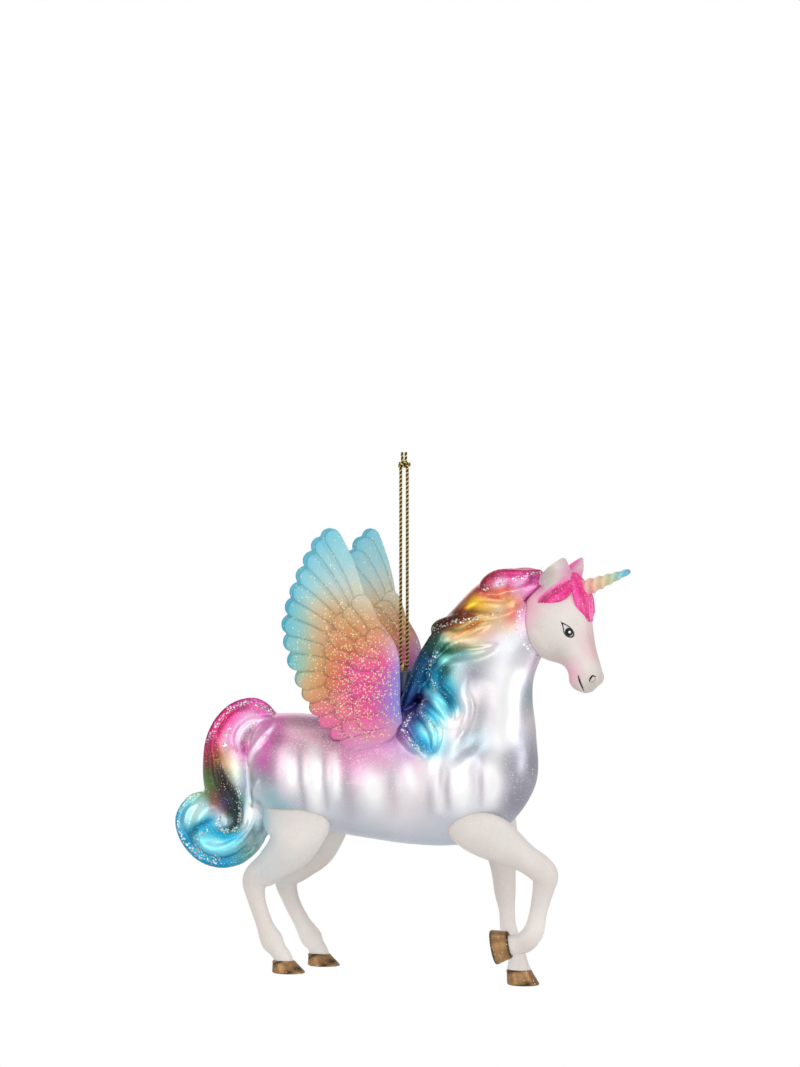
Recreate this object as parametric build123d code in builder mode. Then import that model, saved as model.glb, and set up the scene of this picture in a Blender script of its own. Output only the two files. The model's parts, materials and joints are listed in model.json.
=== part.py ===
"""A winged unicorn hanging ornament: a blown glass body, cast resin limbs, and a gold cord loop."""
import os

from build123d import *

# The origin is where a hook carries the cord loop. X is forward, Y is the animal's left and Z is up.
CORD_DIAMETER = 0.9
CORD_CLEARANCE = 0.05
HANG_DROP = 53.0
KNOT_SHOULDER = 0.6
KNOT_TAIL = 3.0

# Hanger: a wire staple through a thin metal cap, over the glass neck at the withers.
WIRE_DIAMETER = 0.8
EYE_RADIUS = 1.45
CAP_TOP_DROP = 1.65
CAP_HEIGHT = 6.2
CAP_RADIUS = 4.0
CAP_WALL = 0.4
CAP_EDGE_RADIUS = 0.3
CAP_SCALLOPS = 12
CAP_SCALLOP_RADIUS = 0.7
CAP_SEAT_GAP = 0.05
WIRE_HOLE_CLEARANCE = 0.06
WIRE_LEG_LENGTH = 10.0
WIRE_LEG_STRAIGHT = 3.5
WIRE_LEG_CLEARANCE = 0.1
WIRE_BEND_RADIUS = 4.0
PIKE_CLEARANCE = 0.4
PIKE_WALL = 0.8

# Blown glass body. Heights are taken from the withers, just below the cap.
WITHERS_DROP = 11.0
BODY_LENGTH = 80.0
BODY_DEPTH = 40.0
BODY_WIDTH = 27.0
GLASS_WALL = 1.2
TAIL_LENGTH = 40.0
TAIL_WIDTH = 15.0
TAIL_THICKNESS = 10.0
TAIL_CURL_RADIUS = 10.8
TAIL_CURL_THICKNESS = 8.4
TAIL_RIM_RADIUS = 2.4
LOCK_RADIUS = 2.4

# Resin head, horn and ears.
HEAD_LENGTH = 32.0
HEAD_DEPTH = 20.0
HEAD_WIDTH = 13.6
HEAD_PITCH = 74.3
HEAD_TURN = 12.0
EAR_LENGTH = 9.2
EAR_WIDTH = 8.0
HORN_LENGTH = 15.2
HORN_RADIUS = 2.35
HORN_TIP_RADIUS = 0.65
HORN_FLATNESS_SHARE = 0.84
HORN_TURNS = 3.0
HORN_STEPS = 24
HORN_PEG_RADIUS = 1.3
HORN_PEG_LENGTH = 2.6
HORN_CLEARANCE = 0.05
HORN_RISE = 20.0
FORELOCK_RADIUS = 1.5

# Resin legs and wings.
LEG_LENGTH = 50.0
LEG_GIRTH = 10.0
LEG_SPREAD = 11.0
HOOF_LENGTH = 9.2
WING_LENGTH = 58.0
WING_LEAN = 12.5
WING_FLARE = 6.0
WING_ROOT_OFFSET = 9.5
FEATHER_WIDTH = 5.0
FEATHER_THICKNESS = 1.3
FEATHER_TWIST = 5.0

# Each body section: top point and low point as (along, up) shares, then a half width share.
BODY_SHARES = [
    (-0.533, -0.300, -0.533, -0.475, 0.120),
    (-0.519, -0.188, -0.519, -0.625, 0.278),
    (-0.475, -0.090, -0.475, -0.780, 0.419),
    (-0.388, -0.065, -0.388, -0.850, 0.504),
    (-0.250, -0.080, -0.250, -0.855, 0.489),
    (-0.112, -0.060, -0.112, -0.865, 0.482),
    (0.006, 0.000, 0.038, -0.912, 0.496),
    (0.056, 0.050, 0.200, -0.925, 0.504),
    (0.088, 0.162, 0.350, -0.812, 0.474),
    (0.106, 0.275, 0.450, -0.525, 0.400),
    (0.131, 0.375, 0.452, -0.200, 0.333),
    (0.175, 0.500, 0.440, 0.038, 0.275),
    (0.244, 0.645, 0.445, 0.195, 0.222),
    (0.325, 0.750, 0.475, 0.350, 0.175),
    (0.388, 0.788, 0.506, 0.475, 0.130),
]
CAVITY_SECTIONS = (1, 2, 4, 6, 7, 8, 10, 12, 13)
CAVITY_END_SHARE = 0.55

# The ridge of mane along the crest: (along, up) shares, then half height and half width shares.
CREST_SHARES = [
    (0.090, 0.160, 0.028, 0.080),
    (0.113, 0.338, 0.068, 0.170),
    (0.156, 0.480, 0.085, 0.200),
    (0.213, 0.613, 0.085, 0.207),
    (0.281, 0.740, 0.090, 0.200),
    (0.356, 0.825, 0.085, 0.178),
    (0.431, 0.865, 0.065, 0.141),
    (0.481, 0.838, 0.040, 0.089),
]

# Each lock of mane: (along, up, out to the side) and girth shares at each bend.
LOCK_SHARES = [
    [(0.470, 0.870, 0.050, 0.69), (0.408, 0.860, 0.130, 1.12), (0.341, 0.846, 0.140, 1.25), (0.289, 0.766, 0.181, 0.62)],
    [(0.430, 0.680, 0.080, 0.60), (0.356, 0.673, 0.125, 1.04), (0.274, 0.679, 0.161, 1.02), (0.214, 0.645, 0.188, 0.54)],
    [(0.341, 0.613, 0.150, 0.55), (0.272, 0.592, 0.155, 0.89), (0.207, 0.565, 0.165, 1.00), (0.128, 0.510, 0.110, 0.60)],
    [(0.345, 0.415, 0.213, 0.46), (0.279, 0.368, 0.238, 0.75), (0.190, 0.336, 0.215, 0.83), (0.125, 0.230, 0.184, 0.41)],
    [(0.220, 0.360, 0.228, 0.50), (0.145, 0.250, 0.200, 0.86), (0.140, 0.105, 0.282, 0.92), (0.190, -0.010, 0.370, 0.74),
     (0.196, -0.093, 0.413, 0.46)],
    [(0.124, 0.250, 0.165, 0.50), (0.096, 0.120, 0.185, 0.78), (0.136, 0.035, 0.320, 0.81), (0.183, -0.110, 0.421, 0.41)],
    [(0.095, 0.050, 0.230, 0.46), (0.085, -0.040, 0.306, 0.75), (0.130, -0.130, 0.410, 0.80), (0.140, -0.291, 0.476, 0.41)],
    [(0.247, 0.281, 0.275, 0.37), (0.224, 0.117, 0.327, 0.60), (0.247, -0.014, 0.367, 0.67), (0.199, -0.243, 0.460, 0.33)],
]

# Tail fall: (along, up) shares from the tail root, half width share, half thickness share.
# Tail curl: place from the tail root, then (offset to the side, radius) shares of each layer.
TAIL_ROOT_SHARES = (-0.450, -0.180)
TAIL_FALL_SHARES = [
    (0.000, -0.020, 0.29, 0.36),
    (-0.138, 0.073, 0.31, 0.38),
    (-0.258, 0.035, 0.38, 0.42),
    (-0.318, -0.108, 0.47, 0.46),
    (-0.325, -0.283, 0.50, 0.50),
    (-0.315, -0.445, 0.47, 0.50),
    (-0.313, -0.595, 0.37, 0.44),
]
TAIL_CURL_PLACE_SHARES = (-0.383, -0.670)
TAIL_CURL_SHARES = [(-0.50, 0.54), (-0.31, 0.78), (0.00, 0.88), (0.31, 0.78), (0.50, 0.54)]

# Each head section: place along the face, centre offset, half depth and half width shares.
HEAD_SHARES = [
    (-0.069, 0.065, 0.095, 0.118),
    (0.000, 0.043, 0.218, 0.309),
    (0.094, -0.060, 0.370, 0.412),
    (0.219, -0.135, 0.465, 0.485),
    (0.344, -0.168, 0.492, 0.500),
    (0.453, -0.170, 0.470, 0.478),
    (0.547, -0.145, 0.425, 0.426),
    (0.625, -0.075, 0.345, 0.360),
    (0.697, 0.020, 0.250, 0.301),
    (0.772, 0.050, 0.225, 0.272),
    (0.859, 0.040, 0.230, 0.287),
    (0.922, 0.035, 0.180, 0.235),
    (0.978, 0.025, 0.055, 0.088),
]
CHEEK_SHARE = 0.96
HEAD_TOP_SHARES = (0.525, 0.850)
EAR_SHARES = [(0.00, 0.42, 0.24), (0.28, 0.50, 0.25), (0.68, 0.33, 0.17), (1.00, 0.05, 0.04)]
EAR_PLACE_SHARES = (0.034, -0.030, 0.230)
EAR_LEAN = 50.0
EAR_SPLAY = 14.0
EAR_TURN = 60.0
HORN_PLACE_SHARES = (0.140, 0.270)

# Each forelock strand: (along the face, out from the face line, to the side) shares, then a girth share.
FORELOCK_SHARES = [
    [(-0.040, 0.150, 0.00, 0.7), (0.060, 0.290, -0.10, 1.0), (0.200, 0.310, -0.16, 1.0), (0.360, 0.300, -0.10, 0.4)],
    [(-0.040, 0.120, -0.04, 0.7), (0.060, 0.160, -0.30, 1.0), (0.130, 0.020, -0.43, 1.0), (0.190, -0.150, -0.46, 0.4)],
    [(-0.040, 0.150, 0.04, 0.7), (0.050, 0.250, 0.20, 1.0), (0.140, 0.200, 0.36, 0.9), (0.240, 0.120, 0.45, 0.4)],
]

# Leg stations: (along, down) shares from the leg root, share of the spread, half depth and half width shares.
RIGHT_HIND_SHARES = [
    (-0.020, -0.060, 0.34, 0.84, 0.34),
    (-0.030, 0.030, 0.50, 0.94, 0.40),
    (-0.036, 0.120, 0.66, 0.96, 0.44),
    (-0.038, 0.200, 0.82, 0.88, 0.45),
    (-0.064, 0.292, 0.94, 0.64, 0.42),
    (-0.150, 0.392, 1.00, 0.46, 0.33),
    (-0.234, 0.470, 1.00, 0.36, 0.26),
    (-0.232, 0.566, 1.00, 0.24, 0.20),
    (-0.188, 0.698, 1.00, 0.23, 0.19),
    (-0.144, 0.804, 1.00, 0.30, 0.25),
    (-0.102, 0.868, 1.00, 0.25, 0.22),
]
LEFT_HIND_SHARES = [
    (0.060, -0.080, 0.42, 0.70, 0.36),
    (0.052, 0.040, 0.62, 0.80, 0.44),
    (0.034, 0.194, 0.84, 0.78, 0.48),
    (-0.006, 0.354, 0.94, 0.58, 0.42),
    (-0.096, 0.444, 1.00, 0.44, 0.33),
    (-0.188, 0.536, 1.00, 0.34, 0.26),
    (-0.168, 0.634, 1.00, 0.24, 0.20),
    (-0.110, 0.744, 1.00, 0.23, 0.19),
    (-0.048, 0.842, 1.00, 0.30, 0.25),
    (-0.022, 0.886, 1.00, 0.26, 0.22),
]
RIGHT_FORE_SHARES = [
    (-0.070, -0.060, 0.36, 0.80, 0.34),
    (-0.030, 0.030, 0.52, 0.88, 0.38),
    (0.005, 0.100, 0.70, 0.90, 0.44),
    (0.092, 0.184, 0.84, 0.66, 0.42),
    (0.236, 0.234, 0.88, 0.46, 0.36),
    (0.356, 0.312, 0.84, 0.35, 0.29),
    (0.374, 0.410, 0.70, 0.27, 0.23),
    (0.342, 0.530, 0.66, 0.23, 0.20),
    (0.306, 0.626, 0.62, 0.27, 0.23),
    (0.250, 0.684, 0.60, 0.29, 0.25),
    (0.192, 0.704, 0.58, 0.27, 0.24),
]
LEFT_FORE_SHARES = [
    (0.000, -0.080, 0.42, 0.56, 0.34),
    (0.010, 0.030, 0.60, 0.60, 0.40),
    (0.034, 0.140, 0.74, 0.54, 0.42),
    (0.052, 0.248, 0.80, 0.42, 0.37),
    (0.064, 0.356, 0.80, 0.33, 0.30),
    (0.072, 0.464, 0.80, 0.29, 0.27),
    (0.082, 0.562, 0.80, 0.22, 0.20),
    (0.090, 0.660, 0.80, 0.23, 0.20),
    (0.112, 0.746, 0.80, 0.29, 0.25),
    (0.138, 0.812, 0.80, 0.25, 0.22),
    (0.146, 0.876, 0.80, 0.31, 0.28),
]
HIND_ROOT_SHARES = (-0.325, -0.595)
FORE_ROOT_SHARES = (0.281, -0.692)

# Each hoof: coronet and sole, as (along, down) shares from the last leg station, half length and half width.
HIND_HOOF_SHARES = [(0.03, 0.10, 0.31, 0.28), (0.20, 0.46, 0.50, 0.42)]
LEFT_FORE_HOOF_SHARES = [(0.00, 0.00, 0.35, 0.31), (0.15, 0.46, 0.49, 0.42)]
RAISED_HOOF_SHARES = [(-0.18, 0.00, 0.38, 0.33), (-0.68, 0.10, 0.52, 0.42)]

# Wing feathers: quill root and tip as (back, up) shares of the wing length, then a width share.
FLIGHT_SHARES = [
    ((0.050, 0.560), (0.206, 0.980), 0.84),
    ((0.060, 0.540), (0.254, 0.938), 0.92),
    ((0.075, 0.515), (0.298, 0.870), 0.98),
    ((0.085, 0.490), (0.340, 0.795), 1.00),
    ((0.090, 0.460), (0.378, 0.715), 1.00),
    ((0.090, 0.430), (0.408, 0.638), 1.00),
    ((0.090, 0.395), (0.432, 0.550), 1.00),
    ((0.090, 0.360), (0.432, 0.462), 1.00),
    ((0.085, 0.320), (0.420, 0.366), 1.00),
    ((0.080, 0.275), (0.390, 0.272), 0.96),
    ((0.070, 0.225), (0.362, 0.202), 0.92),
    ((0.060, 0.170), (0.330, 0.132), 0.88),
    ((0.050, 0.110), (0.292, 0.068), 0.84),
    ((0.040, 0.050), (0.240, 0.010), 0.84),
]
COVERT_SHARES = [
    ((0.000, 0.480), (0.098, 0.672), 0.86),
    ((0.015, 0.450), (0.146, 0.620), 0.92),
    ((0.020, 0.415), (0.196, 0.578), 0.96),
    ((0.020, 0.375), (0.224, 0.500), 1.00),
    ((0.020, 0.335), (0.250, 0.432), 1.00),
    ((0.020, 0.290), (0.256, 0.340), 1.00),
    ((0.010, 0.240), (0.252, 0.268), 0.96),
    ((0.000, 0.185), (0.240, 0.198), 0.92),
    ((-0.010, 0.125), (0.215, 0.125), 0.92),
    ((-0.015, 0.060), (0.185, 0.045), 0.92),
]
SCALE_SHARES = [
    ((-0.045, 0.430), (0.052, 0.500), 0.90),
    ((-0.050, 0.385), (0.110, 0.455), 0.96),
    ((-0.055, 0.335), (0.142, 0.385), 1.00),
    ((-0.055, 0.280), (0.152, 0.312), 1.00),
    ((-0.050, 0.220), (0.146, 0.238), 1.00),
    ((-0.045, 0.155), (0.130, 0.165), 1.00),
    ((-0.040, 0.085), (0.110, 0.090), 1.00),
]
QUILL_END_SHARE = 0.45
COVERT_THICKNESS_SHARE = 1.75
SCALE_THICKNESS_SHARE = 2.45

# The wing's arm: (back, up) shares of the wing length, then half width and half thickness shares of a feather's.
ARM_SHARES = [
    (0.045, -0.100, 1.70, 1.90),
    (0.040, 0.020, 1.75, 1.75),
    (0.012, 0.150, 1.32, 1.66),
    (-0.030, 0.280, 0.85, 1.45),
    (-0.045, 0.400, 0.60, 1.25),
    (-0.005, 0.500, 0.45, 0.95),
    (0.040, 0.580, 0.25, 0.60),
]
WING_ROOT_SHARES = (-0.050, -0.200)

hinge_z = -HANG_DROP
withers_z = hinge_z - WITHERS_DROP
left = Vector(0, 1, 0)


def body_point(along_share, up_share, side=0):
    """A place on the body's middle plane, or out to one side of it."""
    return Vector(along_share * BODY_LENGTH, side, withers_z + up_share * BODY_DEPTH)


def section_at(place):
    """Centre, upward direction, half height and half width of the body at a place between two sections."""
    index = min(int(place), len(BODY_SHARES) - 2)
    share = place - index
    row = [a + (b - a) * share for a, b in zip(BODY_SHARES[index], BODY_SHARES[index + 1])]
    top = body_point(row[0], row[1])
    low = body_point(row[2], row[3])
    return (top + low) / 2, (top - low).normalized(), (top - low).length / 2, row[4] * BODY_WIDTH


def loft_body(places, wall, end_share):
    """A smooth skin through the body sections, drawn in by a wall and smaller still at both ends."""
    with BuildPart() as skin:
        for place in places:
            centre, up, half_height, half_width = section_at(place)
            shrink = end_share if place in (places[0], places[-1]) else 1
            with BuildSketch(Plane(origin=centre, x_dir=up, z_dir=left.cross(up))):
                Ellipse((half_height - wall) * shrink, (half_width - wall) * shrink)
        loft()
    return skin.part


def loft_path(stations, side_way=left):
    """A smooth skin through ellipses set square to a path: (centre, half depth, half width) at each station."""
    with BuildPart() as skin:
        for index, (centre, half_depth, half_width) in enumerate(stations):
            before = stations[max(index - 1, 0)][0]
            after = stations[min(index + 1, len(stations) - 1)][0]
            onward = (after - before).normalized()
            with BuildSketch(Plane(origin=centre, x_dir=onward.cross(side_way), z_dir=onward)):
                Ellipse(half_depth, half_width)
        loft()
    return skin.part


def lock_stations(bends, side):
    """Stations of one lock of mane, lying on one side of the neck."""
    return [
        (body_point(along, up, side * out * BODY_WIDTH), girth * LOCK_RADIUS, girth * LOCK_RADIUS)
        for along, up, out, girth in bends
    ]


def loft_tail(wall):
    """The fall of the tail in the body's middle plane, drawn in by a wall."""
    root = body_point(*TAIL_ROOT_SHARES)
    stations = []
    for along, up, half_width, half_thickness in TAIL_FALL_SHARES:
        centre = root + Vector(along * TAIL_LENGTH, 0, up * TAIL_LENGTH)
        stations.append((centre, half_width * TAIL_WIDTH - wall, half_thickness * TAIL_THICKNESS - wall))
    return loft_path(stations)


pike_radius = CAP_RADIUS - CAP_WALL - PIKE_CLEARANCE
bore_radius = pike_radius - PIKE_WALL
cap_top_z = hinge_z - CAP_TOP_DROP
pike_top_z = cap_top_z - CAP_WALL - CAP_SEAT_GAP

body_skin = loft_body(range(len(BODY_SHARES)), 0, 1)
cavity = loft_body(CAVITY_SECTIONS, GLASS_WALL, CAVITY_END_SHARE)
crest = loft_path([
    (body_point(along, up), half_height * BODY_DEPTH, half_width * BODY_WIDTH)
    for along, up, half_height, half_width in CREST_SHARES
])
tail_fall = loft_tail(0)
tail_curl_centre = body_point(*TAIL_ROOT_SHARES) + Vector(
    TAIL_CURL_PLACE_SHARES[0] * TAIL_LENGTH, 0, TAIL_CURL_PLACE_SHARES[1] * TAIL_LENGTH
)
locks = [loft_path(lock_stations(bends, side)) for bends in LOCK_SHARES for side in (-1, 1)]

with BuildPart() as tail_curl:
    for offset, radius_share in TAIL_CURL_SHARES:
        layer = tail_curl_centre + left * (offset * TAIL_CURL_THICKNESS)
        with BuildSketch(Plane(origin=layer, x_dir=(1, 0, 0), z_dir=left)):
            Circle(radius_share * TAIL_CURL_RADIUS)
    loft()
    with BuildSketch(Plane(origin=tail_curl_centre, x_dir=(1, 0, 0), z_dir=(0, 0, 1))):
        with Locations((TAIL_CURL_RADIUS - TAIL_RIM_RADIUS, 0)):
            Circle(TAIL_RIM_RADIUS)
    revolve(axis=Axis(tail_curl_centre, left))

with BuildPart() as glass_form:
    add(body_skin)
    add(tail_fall)
    add(tail_curl.part)
    add(crest)
    add(locks)

with BuildPart() as glass_body:
    add(glass_form.part)
    with BuildSketch(Plane.XY.offset(withers_z - PIKE_WALL)):
        Circle(pike_radius)
    extrude(amount=pike_top_z - withers_z + PIKE_WALL)
    add(cavity, mode=Mode.SUBTRACT)
    add(loft_tail(GLASS_WALL), mode=Mode.SUBTRACT)
    with BuildSketch(Plane.XY.offset(pike_top_z)):
        Circle(bore_radius)
    extrude(amount=withers_z - BODY_WIDTH / 2 - pike_top_z, mode=Mode.SUBTRACT)
glass_body.part.label = "glass_body"

# The head hangs from the end of the glass neck, turned a little to the right.
face_forward = Vector(1, 0, 0).rotate(Axis.Z, -HEAD_TURN)
face_side = Vector(0, 0, 1).cross(face_forward)
face_down = face_forward.rotate(Axis((0, 0, 0), face_side), HEAD_PITCH)
face_out = face_side.cross(face_down) * -1
head_top = body_point(*HEAD_TOP_SHARES)


def head_point(along_share, out_share, side_share):
    """A place in the head's own frame: down the face, out from it, and to the animal's left."""
    along = face_down * (along_share * HEAD_LENGTH)
    return head_top + along + face_out * (out_share * HEAD_DEPTH) + face_side * (side_share * HEAD_WIDTH)


def ear(side):
    """One ear, leaning forward and out, with its broad face turned to its own side."""
    upward = (face_down * -1).rotate(Axis((0, 0, 0), face_side), EAR_LEAN)
    upward = upward.rotate(Axis((0, 0, 0), face_forward), -side * EAR_SPLAY)
    mouth = face_forward.rotate(Axis.Z, side * EAR_TURN)
    across = upward.cross(mouth).normalized() * side
    along, out, offset = EAR_PLACE_SHARES
    root = head_point(along, out, side * offset)
    with BuildPart() as made:
        for rise, half_width, half_depth in EAR_SHARES:
            with BuildSketch(Plane(origin=root + upward * (rise * EAR_LENGTH), x_dir=across, z_dir=upward)):
                Ellipse(half_width * EAR_WIDTH, half_depth * EAR_WIDTH)
        loft()
    return made.part


with BuildPart() as head_skin:
    for along, offset, half_depth, half_width in HEAD_SHARES:
        with BuildSketch(Plane(origin=head_point(along, offset, 0), x_dir=face_out, z_dir=face_down)):
            cheek_radius = min(half_depth * HEAD_DEPTH, half_width * HEAD_WIDTH) * CHEEK_SHARE
            RectangleRounded(half_depth * HEAD_DEPTH * 2, half_width * HEAD_WIDTH * 2, cheek_radius)
    loft()

forelock = [
    loft_path([
        (head_point(along, out, side), girth * FORELOCK_RADIUS, girth * FORELOCK_RADIUS)
        for along, out, side, girth in strand
    ])
    for strand in FORELOCK_SHARES
]
ears = [ear(side) for side in (-1, 1)]
horn_way = face_forward.rotate(Axis((0, 0, 0), face_side), -HORN_RISE)
horn_root = head_point(HORN_PLACE_SHARES[0], HORN_PLACE_SHARES[1], 0)

horn_seat = Plane(origin=horn_root, x_dir=face_side, z_dir=horn_way)

with BuildPart() as head:
    add(head_skin.part)
    add(ears)
    add(forelock)
    with BuildSketch(horn_seat):
        Circle(HORN_RADIUS + HORN_CLEARANCE)
    extrude(amount=HORN_LENGTH, mode=Mode.SUBTRACT)
    with BuildSketch(horn_seat):
        Circle(HORN_PEG_RADIUS + HORN_CLEARANCE)
    extrude(amount=-HORN_PEG_LENGTH - HORN_CLEARANCE, mode=Mode.SUBTRACT)
    add(body_skin, mode=Mode.SUBTRACT)
    add(crest, mode=Mode.SUBTRACT)
    add(locks, mode=Mode.SUBTRACT)
head.part.label = "head"

with BuildPart() as horn:
    for step in range(HORN_STEPS + 1):
        way_along = step / HORN_STEPS
        radius = HORN_RADIUS + (HORN_TIP_RADIUS - HORN_RADIUS) * way_along
        with BuildSketch(horn_seat.offset(way_along * HORN_LENGTH)):
            Ellipse(radius, radius * HORN_FLATNESS_SHARE, rotation=360 * HORN_TURNS * way_along)
    loft()
    with BuildSketch(horn_seat):
        Circle(HORN_PEG_RADIUS)
    extrude(amount=-HORN_PEG_LENGTH)
horn.part.label = "horn"


def leg(shares, root_shares, hoof_shares, side, hoof_way):
    """One leg down to its hoof, reaching into the body at the top."""
    root = body_point(*root_shares)
    stations = []
    for along, down, spread, half_depth, half_width in shares:
        centre = root + Vector(along * LEG_LENGTH, side * spread * LEG_SPREAD, -down * LEG_LENGTH)
        stations.append((centre, half_depth * LEG_GIRTH, half_width * LEG_GIRTH))
    ankle, ankle_depth, ankle_width = stations[-1]
    rings = [
        (ankle + Vector(along * HOOF_LENGTH, 0, -down * HOOF_LENGTH), half_length, half_width)
        for along, down, half_length, half_width in hoof_shares
    ]
    stations.append(((rings[0][0] + rings[1][0]) / 2, ankle_depth, ankle_width))
    with BuildPart() as hoof:
        for centre, half_length, half_width in rings:
            with BuildSketch(Plane(origin=centre, x_dir=hoof_way.cross(left), z_dir=hoof_way)):
                Ellipse(half_length * HOOF_LENGTH, half_width * HOOF_LENGTH)
        loft()
    return [loft_path(stations), hoof.part]


def wing_point(back_share, up_share):
    """A place in the plane of the right wing."""
    return wing_plane.from_local_coords((back_share * WING_LENGTH, up_share * WING_LENGTH, 0))


def feather(root, tip, width_share, thickness_share):
    """One feather: a rounded blade that narrows to its quill, turned a little about its own length."""
    quill = wing_point(*root)
    end = wing_point(*tip)
    along = (end - quill).normalized()
    face = wing_plane.z_dir.rotate(Axis((0, 0, 0), along), FEATHER_TWIST)
    tip_radius = width_share * FEATHER_WIDTH / 2
    with BuildPart() as blade:
        with BuildSketch(Plane(origin=quill, x_dir=along, z_dir=face)):
            Circle(tip_radius * QUILL_END_SHARE)
            with Locations(((end - quill).length - tip_radius, 0)):
                Circle(tip_radius)
            make_hull()
        extrude(amount=thickness_share * FEATHER_THICKNESS / 2, both=True)
    return blade.part


down_way = Vector(0, 0, -1)
raised_way = Vector(RAISED_HOOF_SHARES[1][0] - RAISED_HOOF_SHARES[0][0], 0, -RAISED_HOOF_SHARES[1][1]).normalized()
wing_back = Vector(-1, 0, 0).rotate(Axis.Z, WING_FLARE)
wing_up = Vector(0, 0, 1).rotate(Axis.X, WING_LEAN)
wing_root = body_point(*WING_ROOT_SHARES, -WING_ROOT_OFFSET)
wing_plane = Plane(origin=wing_root, x_dir=wing_back, z_dir=wing_back.cross(wing_up))

with BuildPart() as right_hind_leg:
    add(leg(RIGHT_HIND_SHARES, HIND_ROOT_SHARES, HIND_HOOF_SHARES, -1, down_way))
    add(body_skin, mode=Mode.SUBTRACT)
    add(tail_curl.part, mode=Mode.SUBTRACT)
right_hind_leg.part.label = "right_hind_leg"

with BuildPart() as left_hind_leg:
    add(leg(LEFT_HIND_SHARES, HIND_ROOT_SHARES, HIND_HOOF_SHARES, 1, down_way))
    add(body_skin, mode=Mode.SUBTRACT)
    add(tail_curl.part, mode=Mode.SUBTRACT)
left_hind_leg.part.label = "left_hind_leg"

with BuildPart() as right_fore_leg:
    add(leg(RIGHT_FORE_SHARES, FORE_ROOT_SHARES, RAISED_HOOF_SHARES, -1, raised_way))
    add(body_skin, mode=Mode.SUBTRACT)
right_fore_leg.part.label = "right_fore_leg"

with BuildPart() as left_fore_leg:
    add(leg(LEFT_FORE_SHARES, FORE_ROOT_SHARES, LEFT_FORE_HOOF_SHARES, 1, down_way))
    add(body_skin, mode=Mode.SUBTRACT)
left_fore_leg.part.label = "left_fore_leg"

arm = loft_path([
    (wing_point(back, up), half_width * FEATHER_WIDTH, half_thickness * FEATHER_THICKNESS)
    for back, up, half_width, half_thickness in ARM_SHARES
], wing_plane.z_dir)
feathers = [feather(*row, 1) for row in FLIGHT_SHARES]
feathers += [feather(*row, COVERT_THICKNESS_SHARE) for row in COVERT_SHARES]
feathers += [feather(*row, SCALE_THICKNESS_SHARE) for row in SCALE_SHARES]

with BuildPart() as right_wing:
    add(arm)
    add(feathers)
    add(body_skin, mode=Mode.SUBTRACT)
right_wing.part.label = "right_wing"

with BuildPart() as left_wing:
    add(mirror(right_wing.part, about=Plane.XZ))
left_wing.part.label = "left_wing"

# The cap sits over the pike and turns on it. The wire eye above it carries the cord.
cap_base_z = cap_top_z - CAP_HEIGHT
with BuildPart() as crown_cap:
    with BuildSketch(Plane.XZ):
        with BuildLine():
            Polyline(
                (0, cap_top_z),
                (CAP_RADIUS, cap_top_z),
                (CAP_RADIUS, cap_base_z),
                (CAP_RADIUS - CAP_WALL, cap_base_z),
                (CAP_RADIUS - CAP_WALL, cap_top_z - CAP_WALL),
                (0, cap_top_z - CAP_WALL),
                close=True,
            )
        make_face()
    revolve(axis=Axis.Z)
    fillet(crown_cap.edges().group_by(Axis.Z)[-1], CAP_EDGE_RADIUS)
    with Locations((0, 0, cap_base_z)):
        with PolarLocations(CAP_RADIUS, CAP_SCALLOPS):
            Cylinder(CAP_SCALLOP_RADIUS, CAP_WALL * 4, rotation=(0, 90, 0), mode=Mode.SUBTRACT)
    with Locations((0, -EYE_RADIUS, cap_top_z), (0, EYE_RADIUS, cap_top_z)):
        Cylinder(WIRE_DIAMETER / 2 + WIRE_HOLE_CLEARANCE, CAP_WALL * 4, mode=Mode.SUBTRACT)
crown_cap.part.label = "crown_cap"

eye_z = hinge_z - EYE_RADIUS
leg_knee_z = cap_top_z - WIRE_LEG_STRAIGHT
leg_end_z = cap_top_z - WIRE_LEG_LENGTH
leg_end_y = bore_radius - WIRE_LEG_CLEARANCE - WIRE_DIAMETER / 2
with BuildPart() as hanger_wire:
    with BuildLine(Plane.YZ) as wire_path:
        FilletPolyline((leg_end_y, leg_end_z), (EYE_RADIUS, leg_knee_z), (EYE_RADIUS, eye_z), radius=WIRE_BEND_RADIUS)
        ThreePointArc((EYE_RADIUS, eye_z), (0, hinge_z), (-EYE_RADIUS, eye_z))
        FilletPolyline((-EYE_RADIUS, eye_z), (-EYE_RADIUS, leg_knee_z), (-leg_end_y, leg_end_z), radius=WIRE_BEND_RADIUS)
    with BuildSketch(wire_path.line ^ 0):
        Circle(WIRE_DIAMETER / 2)
    sweep()
hanger_wire.part.label = "hanger_wire"

# The cord runs down, under the wire eye and back up to the knot.
bight_radius = (WIRE_DIAMETER + CORD_DIAMETER) / 2 + CORD_CLEARANCE
with BuildPart() as cord_loop:
    with BuildLine(Plane.XZ) as cord_path:
        Line((bight_radius, 0), (bight_radius, hinge_z))
        ThreePointArc((bight_radius, hinge_z), (0, hinge_z - bight_radius), (-bight_radius, hinge_z))
        Line((-bight_radius, hinge_z), (-bight_radius, 0))
    with BuildSketch(cord_path.line ^ 0):
        Circle(CORD_DIAMETER / 2)
    sweep()
cord_loop.part.label = "cord_loop"

knot_core = bight_radius + CORD_DIAMETER / 2
knot_height = CORD_DIAMETER + KNOT_SHOULDER
with BuildPart() as cord_knot:
    with BuildSketch():
        Circle(knot_core)
    extrude(amount=knot_height)
    with Locations((0, 0, knot_height / 2)):
        Torus(knot_core, CORD_DIAMETER / 2)
    with BuildSketch():
        with Locations((-CORD_DIAMETER / 2, 0), (CORD_DIAMETER / 2, 0)):
            Circle(CORD_DIAMETER / 2 - CORD_CLEARANCE)
    extrude(amount=knot_height + KNOT_TAIL)
cord_knot.part.label = "cord_knot"

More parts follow.
